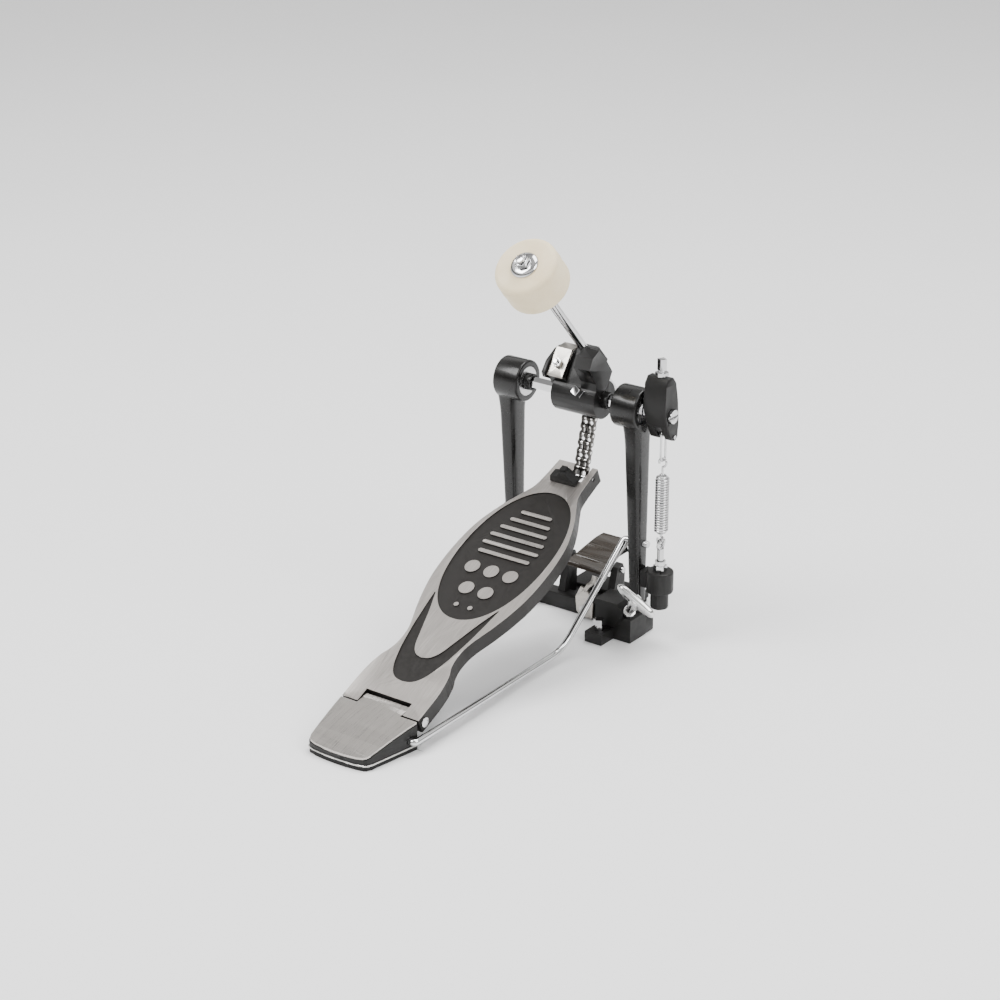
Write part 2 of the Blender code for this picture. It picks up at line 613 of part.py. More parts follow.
def post(side, name):
    """A tapered post with its bearing barrel, cast in one."""
    x = POST_X * side
    foot_z = BLOCK_HEIGHT + GAP
    top_z = AXLE_Z - BARREL_R * 0.6
    bm = bmesh.new()
    bmesh.ops.create_cube(bm, size=1)
    for vertex in bm.verts:
        high = vertex.co.z > 0
        size_x = POST_TOP_X if high else POST_FOOT_X
        size_y = POST_TOP_Y if high else POST_FOOT_Y
        z = top_z if high else foot_z
        y = 0 if high else POST_LEAN_Y
        vertex.co = (x + vertex.co.x * size_x, y + vertex.co.y * size_y, z)
    shaft = from_bmesh(name, bm)
    add_bevel(shaft, 3.6 * MM, 2)
    inner = Vector((side * BEARING_IN_X, 0, AXLE_Z))
    outer = Vector((side * (BEARING_IN_X + BARREL_LENGTH), 0, AXLE_Z))
    barrel = rod(name + "_barrel", inner, outer, BARREL_R, 36)
    add_bevel(barrel, 1.2 * MM, 1)
    join(shaft, barrel)
    out = Vector((side, 0, 0))
    bore = rod(name + "_bore", inner - out * 1 * MM, outer + out * 1 * MM, BORE_R + 1.5 * MM, 24)
    seats = [rod(name + "_inner_seat", inner - out * 1 * MM, inner + out * (BEARING_LENGTH + GAP),
                 BEARING_R + GAP, 32),
             rod(name + "_outer_seat", outer + out * 1 * MM, outer - out * (BEARING_LENGTH + GAP),
                 BEARING_R + GAP, 32)]
    pivot = rod(name + "_pivot_hole", (x - 12 * MM * side, ROD_PIVOT_Y, ROD_PIVOT_Z),
                (x + 12 * MM * side, ROD_PIVOT_Y, ROD_PIVOT_Z), RADIUS_ROD_R + GAP, 16)
    cut(shaft, bore, *seats, pivot)
    finish(shaft, PAINTED)
    for place, start, away in (("inner", inner, out), ("outer", outer, -out)):
        bearing = rod("{}_{}_bearing".format(name.split("_")[0], place), start + away * 0.2 * MM,
                      start + away * BEARING_LENGTH, BEARING_R, 32)
        hole = rod(bearing.name + "_hole", start - away * 1 * MM,
                   start + away * (BEARING_LENGTH + 1 * MM), BORE_R, 24)
        cut(bearing, hole)
        finish(bearing, STEEL)


def on_spring_line(z):
    return Vector((SPRING_X, SPRING_Y, z))


def spring_boss():
    """The eye-bolt boss and its arm, bolted to the right post, with the bolt, its nut and the knob."""
    boss = rod("spring_boss", on_spring_line(BOSS_LOW_Z), on_spring_line(BOSS_HIGH_Z), BOSS_R, 32)
    add_bevel(boss, 1.2 * MM, 2)
    arm = box("boss_arm", (POST_X + POST_FOOT_X / 2 + 0.8 * MM, SPRING_Y - 5 * MM, BOSS_LOW_Z + 2 * MM),
              (SPRING_X - 4 * MM, SPRING_Y + 5 * MM, BOSS_HIGH_Z - 2 * MM))
    join(boss, arm)
    cut(boss, bolt_clearance("boss_hole"))
    finish(boss, CAST)
    shank = rod("eye_bolt", on_spring_line(KNOB_LOW_Z + 2 * MM), on_spring_line(EYE_Z - EYE_R + 0.4 * MM),
                EYE_BOLT_R, 20)
    join(shank, ring("eye", on_spring_line(EYE_Z), EYE_R, 1.3 * MM))
    finish(shank, CHROME)
    nut = rod("lock_nut", on_spring_line(BOSS_HIGH_Z + GAP), on_spring_line(BOSS_HIGH_Z + 4.5 * MM),
              5.2 * MM, 6)
    collar = rod("nut_collar", on_spring_line(BOSS_HIGH_Z + 4 * MM), on_spring_line(BOSS_HIGH_Z + 8 * MM),
                 4 * MM, 20)
    join(nut, collar)
    cut(nut, bolt_clearance("nut_hole"))
    finish(nut, CHROME, axis_empty("lock_nut_axis", on_spring_line(BOSS_HIGH_Z)))
    knob = rod("tension_knob", on_spring_line(KNOB_LOW_Z), on_spring_line(BOSS_LOW_Z - GAP), KNOB_R, 20)
    add_bevel(knob, 1 * MM, 2)
    cut(knob, bolt_clearance("knob_hole"))
    finish(knob, CAST, axis_empty("tension_knob_axis", on_spring_line(KNOB_LOW_Z)))


def bolt_clearance(name):
    return rod(name, on_spring_line(KNOB_LOW_Z - 1 * MM), on_spring_line(BOSS_HIGH_Z + 9 * MM),
               EYE_BOLT_R + GAP, 20)


def ring(name, centre, radius, thickness, steps=18):
    """A closed wire ring in the Y-Z plane."""
    bm = bmesh.new()
    section = [Vector((radius + thickness * math.cos(a), thickness * math.sin(a)))
               for a in (math.tau * i / 8 for i in range(8))]
    rows = []
    for step in range(steps):
        angle = math.tau * step / steps
        rows.append([bm.verts.new(centre + Vector((p.y, p.x * math.cos(angle), p.x * math.sin(angle))))
                     for p in section])
    for step in range(steps):
        here = rows[step]
        after = rows[(step + 1) % steps]
        for i in range(8):
            j = (i + 1) % 8
            bm.faces.new((here[i], here[j], after[j], after[i]))
    bmesh.ops.recalc_face_normals(bm, faces=bm.faces)
    return from_bmesh(name, bm)


# ---------------------------------------------------------------- axle group

def axle_group(turning):
    axle = rod("axle", (AXLE_LEFT_X, 0, AXLE_Z), (AXLE_RIGHT_X, 0, AXLE_Z), AXLE_FLATS / math.sqrt(3), 6)
    finish(axle, CHROME, turning)
    beater_holder(turning)
    clamp_plate(turning)
    for name, start, end in (
            ("left_collar", BEARING_IN_X - GAP, BEARING_IN_X - GAP - COLLAR_LENGTH),
            ("right_collar", -HUB_RIGHT_X - GAP, -HUB_RIGHT_X - GAP - COLLAR_LENGTH)):
        collar = rod(name, (-start, 0, AXLE_Z), (-end, 0, AXLE_Z), COLLAR_R, 24)
        hole = rod(name + "_hole", (-start - 9 * MM, 0, AXLE_Z), (-start + 9 * MM, 0, AXLE_Z),
                   BORE_R, 24)
        cut(collar, hole)
        finish(collar, CAST, turning)


def beater_holder(turning):
    """Hub, side blocks and rod sleeve in one casting."""
    holder = rod("beater_holder", (HUB_LEFT_X, 0, AXLE_Z), (HUB_RIGHT_X, 0, AXLE_Z), HUB_R, 40)
    right = [(-11, 8), (-11, 15.1), (-20.4, 28.1), (-16.1, 36), (-8, 40.2), (2.3, 29.7), (10, 19.3),
             (5.5, 11.6), (6, 2), (0, -4)]
    front = [(-12, 6), (-4.5, 19.4), (3, 30), (5.5, 27.8), (-1.2, 20.6), (-2.4, 14), (-4, 6)]
    left = [(-10.6, 14), (1.4, 30), (9, 30.5), (16, 24), (14, 12), (6, 4), (-6, 6)]
    cheek = [(-13.9, 12.6), (-15.6, 17), (-10, 24.4), (1, 30.5), (8, 31.5), (12, 22), (4, 8), (-4, 8)]
    pieces = [
        flat("right_block_of_holder", scaled(right), CHAIN_X + CHAIN_HALF_WIDTH + 1.6 * MM, HUB_RIGHT_X,
             AXLE_SIDE),
        flat("front_block_of_holder", scaled(front), -1.6 * MM, CHAIN_X + CHAIN_HALF_WIDTH + 2.6 * MM,
             AXLE_SIDE),
        flat("left_block_of_holder", scaled(left), -16 * MM, -1 * MM, AXLE_SIDE),
        flat("cheek_of_holder", scaled(cheek), -18.5 * MM, -15.9 * MM, AXLE_SIDE),
    ]
    sleeve = box("rod_sleeve", (-1.5 * MM, -5.2 * MM, -8 * MM), (15 * MM, 5.5 * MM, 10 * MM))
    place = Matrix.Translation(on_beater(0, 10 * MM)) @ Matrix.Rotation(BEATER_LEAN, 4, "X")
    sleeve.data.transform(place)
    join(holder, *pieces, sleeve)
    bore = rod("hub_bore", (HUB_LEFT_X - 9 * MM, 0, AXLE_Z), (HUB_RIGHT_X + 1 * MM, 0, AXLE_Z),
               BORE_R, 24)
    rod_bore = rod("rod_bore", on_beater(ROD_X, -10 * MM), on_beater(ROD_X, 30 * MM), ROD_R + GAP, 24)
    key_hole = rod("key_hole", key_point(9 * MM), key_point(20 * MM), 2 * MM + GAP, 16)
    cut(holder, bore, rod_bore, key_hole)
    finish(holder, CAST, turning)


def scaled(points):
    return [(u * MM, v * MM) for u, v in points]


def key_point(radius):
    return on_cam(KEY_X, radius, KEY_ANGLE)


def clamp_plate(turning):
    """The bent steel plate that grips the rod, its screw, and the key screw of the hub."""
    line = scaled([(-12.3, 13.9), (0.7, 31.2), (10, 31.9), (10, 33.4), (-0.1, 32.7), (-13.5, 14.8)])
    plate = flat("rod_clamp_plate", line, -15.5 * MM, -2 * MM, AXLE_SIDE)
    middle = Vector((-8.5 * MM, -7.0 * MM, AXLE_Z + 22.1 * MM))
    normal = Vector((0, -0.8, 0.6))
    hole = rod("plate_hole", middle - normal * 6 * MM, middle + normal * 6 * MM, SCREW_R + GAP, 16)
    cut(plate, hole)
    finish(plate, BRUSHED, turning)
    holder = bpy.data.objects["beater_holder"]
    screw_hole = rod("screw_hole", middle - normal * 12 * MM, middle + normal * 1 * MM,
                     SCREW_R + GAP, 16)
    cut(holder, screw_hole)
    screw = rod("rod_clamp_screw", middle - normal * 9 * MM, middle + normal * 4 * MM, SCREW_R, 16)
    head = rod("clamp_screw_head", middle + normal * 1.4 * MM, middle + normal * 4.9 * MM,
               3.6 * MM, 6)
    dome = rod("clamp_screw_dome", middle + normal * 4.2 * MM, middle + normal * 7.5 * MM, 3 * MM, 20,
               1.6 * MM)
    join(screw, head, dome)
    finish(screw, CHROME, axis_empty("rod_clamp_screw_axis", middle))
    key = rod("hub_key_screw", key_point(10.5 * MM), key_point(17 * MM), 2 * MM, 16)
    key_head = rod("hub_key_head", key_point(HUB_R + GAP), key_point(HUB_R + 6.5 * MM), 3.9 * MM, 4, None,
                   math.radians(20))
    join(key, key_head)
    finish(key, CHROME, axis_empty("hub_key_axis", key_point(0)))


# ---------------------------------------------------------------- beater

def beater(sliding):
    shaft = rod("beater_rod", on_beater(ROD_X, ROD_LOW), on_beater(ROD_X, ROD_HIGH), ROD_R, 24)
    finish(shaft, CHROME, sliding)
    half = FELT_HEIGHT
    profile = [(ROD_R + GAP, half), (FELT_R - 4 * MM, half), (FELT_R - 1.4 * MM, half - 1.3 * MM),
               (FELT_R, half - 4.5 * MM), (FELT_R, 4.5 * MM), (FELT_R - 1.4 * MM, 1.3 * MM),
               (FELT_R - 4 * MM, 0), (ROD_R + GAP, 0), (ROD_R + GAP, half)]
    felt = turned("beater_felt", profile, on_beater(ROD_X, FELT_LOW), on_beater(ROD_X, FELT_LOW + 1))
    finish(felt, FELT, sliding)
    top = FELT_LOW + FELT_HEIGHT + GAP
    dome = [(ROD_R + GAP, 2.6 * MM), (4.5 * MM, 2.6 * MM), (8 * MM, 1.9 * MM), (WASHER_R, 0.5 * MM),
            (WASHER_R, 0), (ROD_R + GAP, 0), (ROD_R + GAP, 2.6 * MM)]
    washer = turned("beater_washer", dome, on_beater(ROD_X, top), on_beater(ROD_X, top + 1), 28)
    finish(washer, CHROME, sliding)
    nut = rod("beater_nut", on_beater(ROD_X, top + 2.9 * MM), on_beater(ROD_X, top + 6.4 * MM),
              5.4 * MM, 6)
    hole = rod("beater_nut_hole", on_beater(ROD_X, top), on_beater(ROD_X, top + 9 * MM), ROD_R + GAP, 20)
    cut(nut, hole)
    finish(nut, CHROME, sliding)
    low = [(ROD_R + GAP, -GAP), (8 * MM, -GAP), (8 * MM, -2 * MM), (4.6 * MM, -4 * MM),
           (ROD_R + GAP, -4 * MM), (ROD_R + GAP, -GAP)]
    collar = turned("beater_collar", low, on_beater(ROD_X, FELT_LOW), on_beater(ROD_X, FELT_LOW + 1), 24)
    finish(collar, STEEL, sliding)


# ---------------------------------------------------------------- chain

def chain_run(name, points, holder, drill=False):
    """A stretch of duplex chain through its pins (Y, Z): waisted plates joined by their rollers."""
    half = CHAIN_HALF_WIDTH
    plates = []
    for index, x in enumerate((-half + LINK_PLATE / 2, 0, half - LINK_PLATE / 2)):
        plates.append(flat("{}_plate_{}".format(name, index), link_outline(points),
                           CHAIN_X + x - LINK_PLATE / 2, CHAIN_X + x + LINK_PLATE / 2, SIDE))
    run = plates[0]
    rollers = [rod("{}_roller_{}".format(name, index), (CHAIN_X - half, point.x, point.y),
                   (CHAIN_X + half, point.x, point.y), LINK_WAIST, 8)
               for index, point in enumerate(points)]
    join(run, *plates[1:], *rollers)
    if drill:
        cut(run, rod(name + "_hole", (CHAIN_X - 2 * half, points[0].x, points[0].y),
                     (CHAIN_X + 2 * half, points[0].x, points[0].y), CHAIN_PIN_R + GAP, 12))
    run.name = name
    finish(run, STEEL, holder)


def link_outline(points):
    """Lobes at the pins and waists between them, up one side and down the other."""
    left = []
    right = []
    last = len(points) - 1
    for index, point in enumerate(points):
        ahead = (points[min(index + 1, last)] - points[max(index - 1, 0)]).normalized()
        side = Vector((-ahead.y, ahead.x)) * LINK_HALF_HEIGHT
        tip = ahead * LINK_HALF_HEIGHT * LINK_END
        if index == 0:
            left.append(point - tip + side * 0.45)
            right.append(point - tip - side * 0.45)
        left.append(point + side)
        right.append(point - side)
        if index < last:
            middle = (point + points[index + 1]) / 2
            waist = side.normalized() * LINK_WAIST
            left.append(middle + waist)
            right.append(middle - waist)
        else:
            left.append(point + tip + side * 0.45)
            right.append(point + tip - side * 0.45)
    return [tuple(p) for p in right + left[::-1]]


def cam_pins(first, count):
    """Pins on the cam's pin circle, counted up from where the chain leaves it."""
    step = 2 * math.asin(PITCH / 2 / PITCH_R)
    pins = [on_cam(0, PITCH_R, LEAVE_ANGLE + step * i) for i in range(first, first + count)]
    return [Vector((pin.y, pin.z)) for pin in pins]


def chain(turning):
    """The free drop on the footboard, the links that leave the cam one after another, and the rest."""
    reach = LINK_END_GAP + LINK_END * LINK_HALF_HEIGHT
    drop = [ANCHOR + CHAIN_DIR * (PITCH * i) for i in range(DROP_LINKS)]
    drop.append(ANCHOR + CHAIN_DIR * (PITCH * DROP_LINKS - reach))
    chain_run("chain_drop", drop, axis_empty("chain_drop_axis", (CHAIN_X, *ANCHOR)), True)
    for link in range(FREE_LINKS):
        low, high = cam_pins(link, 2)
        ahead = (high - low).normalized() * reach
        chain_run("chain_link_{}".format(link + 1), [low + ahead, high - ahead],
                  axis_empty("chain_link_{}_axis".format(link + 1), (CHAIN_X, *high)))
    low, high = cam_pins(FREE_LINKS, WRAP_LINKS + 1)
    chain_run("chain_wrap", [low + (high - low).normalized() * reach, high], turning)


# ---------------------------------------------------------------- footboard

def mirrored(half):
    """A closed outline from the (along, half width) points of its right half."""
    right = [(width, along) for along, width in half]
    left = [(-width, along) for along, width in reversed(half)]
    return right + left


def board_outline(inset=0, start=0, end=None):
    half = [(0, 33.6), (26, 33.2), (42, 30.6), (51, 27), (61, 25.4), (74, 26.6), (94, 33.6), (110, 38.2),
            (126, 41.4), (145, 42.8), (164, 42.4), (182, 40.2), (196, 36), (206, 32), (216, 27.2),
            (225, 22.6), (232, 19.6), (243, 18.2), (263, 17.2)]
    points = [(along * MM * BOARD_LENGTH / (263 * MM), width * MM - inset) for along, width in half]
    points = [(along, width) for along, width in points if start <= along <= (end or BOARD_LENGTH)]
    points[0] = (start, points[0][1])
    if end:
        points[-1] = (end, points[-1][1])
    return smoothed(points)


def smoothed(points, parts=2):
    """Points on a smooth curve through the given ones."""
    result = []
    for index in range(len(points) - 1):
        p0 = Vector(points[max(index - 1, 0)])
        p1 = Vector(points[index])
        p2 = Vector(points[index + 1])
        p3 = Vector(points[min(index + 2, len(points) - 1)])
        for part in range(parts):
            t = part / parts
            result.append(tuple(0.5 * (2 * p1 + (p2 - p0) * t + (2 * p0 - 5 * p1 + 4 * p2 - p3) * t * t
                                       + (3 * p1 - p0 - 3 * p2 + p3) * t * t * t)))
    result.append(points[-1])
    return result


def oval(steps=40, power=2.1):
    outline = []
    for step in range(steps):
        angle = math.tau * step / steps
        u = math.copysign(abs(math.cos(angle)) ** (2 / power), math.cos(angle))
        v = math.copysign(abs(math.sin(angle)) ** (2 / power), math.sin(angle))
        outline.append((OVAL_HALF_WIDTH * u, OVAL_MIDDLE + OVAL_HALF_LENGTH * v))
    return outline


def chevron():
    outer = smoothed(scaled([(28.8, 110.3), (26.4, 89.3), (23.7, 71), (19.9, 52.5), (14.3, 36.5), (7.8, 29),
                             (0, 27)]), 2)
    inner = smoothed(scaled([(0, 51.2), (6.5, 53.5), (11.5, 60.5), (15.8, 74), (21.7, 93),
                             (27.6, 109.3)]), 2)
    outer = outer + [(-u, v) for u, v in outer[-2::-1]]
    inner = [(-u, v) for u, v in inner[::-1]] + inner[1:]
    return outer + inner


def raised_marks():
    """The raised silver marks in the oval: dots and plain grip ribs."""
    marks = []
    low = -RECESS_DEPTH - 0.5 * MM
    high = 0.5 * MM
    dots = [(x, 142.4, DOT_R) for x in (-16.9, 0, 16.9)]
    dots += [(x, 122.1, DOT_R) for x in (-8.5, 8.5)]
    dots += [(x, 105.2, SMALL_DOT_R) for x in (-6.1, 6.1)]
    for index, (x, along, radius) in enumerate(dots):
        marks.append(rod("dot_{}".format(index), on_board(x * MM, along * MM, low),
                         on_board(x * MM, along * MM, high), radius, 16))
    ribs = [((-21, 159), (21, 159), 1.6), ((-23, 168), (23, 168), 1.6), ((-22, 177), (22, 177), 1.6),
            ((-19, 186), (19, 186), 1.6), ((-16, 195), (16, 195), 1.6), ((-12, 204), (12, 204), 1.6)]
    for index, (start, end, half_width) in enumerate(ribs):
        outline = stadium(Vector(start) * MM, Vector(end) * MM, half_width * MM)
        marks.append(flat("rib_{}".format(index), outline, low, high, BOARD))
    return marks


def stadium(start, end, radius, steps=4):
    """A straight bar with round ends."""
    along = (end - start).normalized()
    angle = math.atan2(along.y, along.x)
    outline = []
    for centre, first in ((end, angle - math.pi / 2), (start, angle + math.pi / 2)):
        for step in range(steps + 1):
            turn = first + math.pi * step / steps
            outline.append((centre.x + radius * math.cos(turn), centre.y + radius * math.sin(turn)))
    return outline


def footboard(pressing):
    board = flat("footboard", mirrored(board_outline()), -BOARD_DEPTH, 0, BOARD)
    pocket = flat("underside_pocket", mirrored(board_outline(BOARD_RIM, 22 * MM, 236 * MM)),
                  -BOARD_DEPTH - 5 * MM, -BOARD_SKIN, BOARD)
    panel = flat("oval_recess", oval(), -RECESS_DEPTH, 5 * MM, BOARD)
    cut(panel, *raised_marks())
    accent = flat("chevron_recess", chevron(), -RECESS_DEPTH, 5 * MM, BOARD)
    notch = box("heel_notch", (-NOTCH_HALF_WIDTH, -9 * MM, -30 * MM),
                (NOTCH_HALF_WIDTH, NOTCH_LENGTH, 9 * MM))
    notch.data.transform(BOARD)
    slot_half = CHAIN_HALF_WIDTH + SLOT_SIDE
    slot = box("chain_slot", (CHAIN_X - slot_half, ANCHOR_ALONG - SLOT_FRONT, -30 * MM),
               (CHAIN_X + slot_half, BOARD_LENGTH + 9 * MM, 9 * MM))
    slot.data.transform(BOARD)
    hinge_hole = rod("ear_hole", (-EAR_HALF_WIDTH * 1.2, HINGE.x, HINGE.y),
                     (EAR_HALF_WIDTH * 1.2, HINGE.x, HINGE.y), HINGE_PIN_R + GAP, 16)
    anchor_hole = rod("anchor_hole", (CHAIN_X - slot_half - 4 * MM, ANCHOR.x, ANCHOR.y),
                      (TOE_HALF_WIDTH + 5 * MM, ANCHOR.x, ANCHOR.y), CHAIN_PIN_R + GAP, 12)
    cut(board, pocket, panel, accent, notch, slot, hinge_hole, anchor_hole)
    finish(board, BRUSHED, pressing)
    toe_stop(pressing)
    anchor = rod("chain_anchor_pin", (CHAIN_X - slot_half - 3.5 * MM, ANCHOR.x, ANCHOR.y),
                 (TOE_HALF_WIDTH - GAP, ANCHOR.x, ANCHOR.y), CHAIN_PIN_R, 12)
    finish(anchor, STEEL, axis_empty("chain_anchor_axis", (CHAIN_X, *ANCHOR)))


def toe_stop(pressing):
    """The rubber wedge that stops the foot: a raised peak on a wider foot."""
    outline = scaled([(-11.5, 0.3), (11.3, 0.3), (11.3, 3), (6.5, 8.5), (4.5, 10.8), (-1.5, 10.8),
                      (-4, 6.8), (-10, 6)])
    upright = BOARD @ Matrix.Translation((0, BOARD_LENGTH - 23 * MM, 0)) @ FRONT
    stop = flat("toe_stop", outline, -8 * MM, 0, upright)
    peak = flat("toe_peak", scaled([(-2, 5), (4.5, 5), (3.8, 12.8), (-1, 12.8)]), -7 * MM, -2.5 * MM,
                upright)
    join(stop, peak)
    finish(stop, RUBBER, pressing, bevel=0.7 * MM)
    stop.modifiers.move(len(stop.modifiers) - 1, 0)


# ---------------------------------------------------------------- heel and radius rods

def heel_outline(inset=0, front=None):
    """The heel's plan: straight front, sides that draw in, and a bowed back edge."""
    front_y = BOARD_REAR.x - HINGE_FREE if front is None else front
    back_y = BOARD_REAR.x - HEEL_LENGTH
    bow = 4 * MM
    half = [(front_y, HEEL_FRONT_HALF - inset), (back_y + bow * 1.8, HEEL_BACK_HALF - inset + 1.4 * MM),
            (back_y + bow + inset * 0.6, HEEL_BACK_HALF - inset)]
    steps = 8
    right = [(width, y) for y, width in half]
    turns = [math.pi * step / steps for step in range(1, steps)]
    back = [((HEEL_BACK_HALF - inset) * math.cos(turn), back_y + bow + inset * 0.6 - bow * math.sin(turn))
            for turn in turns]
    left = [(-width, y) for width, y in reversed(right)]
    return (right + back + left)[::-1]


def heel_top(y, below=0):
    """Height of the heel's curved top at Y."""
    reach = (BOARD_REAR.x - y) / HEEL_LENGTH
    drop = BOARD_REAR_Z - HEEL_BACK_Z
    return BOARD_REAR_Z - drop * (0.72 * reach + 0.28 * reach * abs(reach)) - below


def heel(lifting):
    pad_top = HEEL_PAD_HEIGHT
    plate_top = pad_top + GAP + HEEL_PLATE_HEIGHT
    pad = flat("heel_rubber_pad", heel_outline(), 0, pad_top, PLAN)
    finish(pad, RUBBER, lifting)
    plate = flat("heel_base_plate", heel_outline(-0.5 * MM), pad_top + GAP, plate_top, PLAN)
    finish(plate, BRUSHED, lifting)
    tongue_front = BOARD_REAR.x + (NOTCH_LENGTH - 1.2 * MM) * math.cos(BOARD_SLOPE)
    tongue_half = NOTCH_HALF_WIDTH - 0.9 * MM
    block = flat("heel_block", heel_outline(), plate_top + GAP, BOARD_REAR_Z + 9 * MM, PLAN)
    tongue = box("heel_tongue", (-tongue_half, BOARD_REAR.x - HINGE_FREE - 5 * MM, plate_top + GAP),
                 (tongue_half, tongue_front, BOARD_REAR_Z + 9 * MM))
    join(block, tongue)
    trim = top_trimmer("heel_block_top", COVER_THICK + GAP)
    pin_hole = rod("heel_pin_hole", (-tongue_half - 1 * MM, HINGE.x, HINGE.y),
                   (tongue_half + 1 * MM, HINGE.x, HINGE.y), HINGE_PIN_R + GAP, 16)
    rod_holes = [rod(name, (side * 22 * MM, rod_heel_y(), ROD_FLOOR_Z),
                     (side * 40 * MM, rod_heel_y(), ROD_FLOOR_Z), RADIUS_ROD_R + GAP, 16)
                 for name, side in (("left_rod_hole", -1), ("right_rod_hole", 1))]
    cut(block, trim, pin_hole, *rod_holes)
    finish(block, CAST, lifting)
    low_z = BOARD_REAR_Z * 0.2
    cover = flat("heel_cover", heel_outline(0.6 * MM), low_z, BOARD_REAR_Z + 9 * MM, PLAN)
    cover_tongue = box("cover_tongue", (-tongue_half, BOARD_REAR.x - HINGE_FREE - 5 * MM, low_z),
                       (tongue_half, tongue_front, BOARD_REAR_Z + 9 * MM))
    join(cover, cover_tongue)
    shell = heel_shell("heel_cover_shape")
    combine(cover, [shell], "INTERSECT")
    finish(cover, BRUSHED, lifting)
    pin = rod("hinge_pin", (-EAR_HALF_WIDTH - 0.4 * MM, HINGE.x, HINGE.y),
              (EAR_HALF_WIDTH + 0.4 * MM, HINGE.x, HINGE.y), HINGE_PIN_R, 16)
    heads = [rod("pin_head_" + name, (side * (EAR_HALF_WIDTH + GAP), HINGE.x, HINGE.y),
                 (side * (EAR_HALF_WIDTH + 1.4 * MM), HINGE.x, HINGE.y), 3.6 * MM, 20)
             for name, side in (("left", -1), ("right", 1))]
    join(pin, *heads)
    finish(pin, CHROME, lifting)


def rod_heel_y():
    return BOARD_REAR.x - ROD_HEEL_BACK


def heel_ys():
    back_y = BOARD_REAR.x - HEEL_LENGTH - 3 * MM
    front_y = BOARD_REAR.x + NOTCH_LENGTH + 3 * MM
    return [back_y + (front_y - back_y) * step / 14 for step in range(15)]


def top_trimmer(name, below):
    """Everything above the heel's curved top, lowered by a given amount."""
    ys = heel_ys()
    ceiling = BOARD_REAR_Z + 20 * MM
    outline = [(y, heel_top(y, below)) for y in ys] + [(ys[-1], ceiling), (ys[0], ceiling)]
    return flat(name, outline, -50 * MM, 50 * MM, SIDE)


def heel_shell(name):
    """A curved sheet that follows the heel's top."""
    ys = heel_ys()
    outline = [(y, heel_top(y, COVER_THICK)) for y in ys] + [(y, heel_top(y)) for y in reversed(ys)]
    return flat(name, outline, -50 * MM, 50 * MM, SIDE)


def bend(corner, before, after, radius, steps=4):
    """Points round a bent corner."""
    corner = Vector(corner)
    start = corner + (Vector(before) - corner).normalized() * radius
    end = corner + (Vector(after) - corner).normalized() * radius
    points = []
    for step in range(steps + 1):
        t = step / steps
        points.append(start * (1 - t) ** 2 + corner * 2 * t * (1 - t) + end * t ** 2)
    return points


def radius_rod(side, name, lifting):
    """One leg from the heel's side, along the floor, up to the pivot hole in its post."""
    corners = [
        Vector((side * 24 * MM, rod_heel_y(), ROD_FLOOR_Z)),
        Vector((side * ROD_HEEL_X, rod_heel_y(), ROD_FLOOR_Z)),
        Vector((side * (ROD_HEEL_X - 1 * MM), ROD_BEND_Y, ROD_FLOOR_Z)),
        Vector((side * ROD_TOP_X, ROD_PIVOT_Y, ROD_PIVOT_Z)),
        Vector((side * ROD_TIP_X, ROD_PIVOT_Y, ROD_PIVOT_Z)),
    ]
    path = [corners[0]]
    for index, radius in ((1, 2.6 * MM), (2, 14 * MM), (3, 2.6 * MM)):
        path += bend(corners[index], corners[index - 1], corners[index + 1], radius)
    path.append(corners[-1])
    leg = wire(name, path, RADIUS_ROD_R, 12)
    finish(leg, CHROME, lifting)


# ---------------------------------------------------------------- rocker and spring

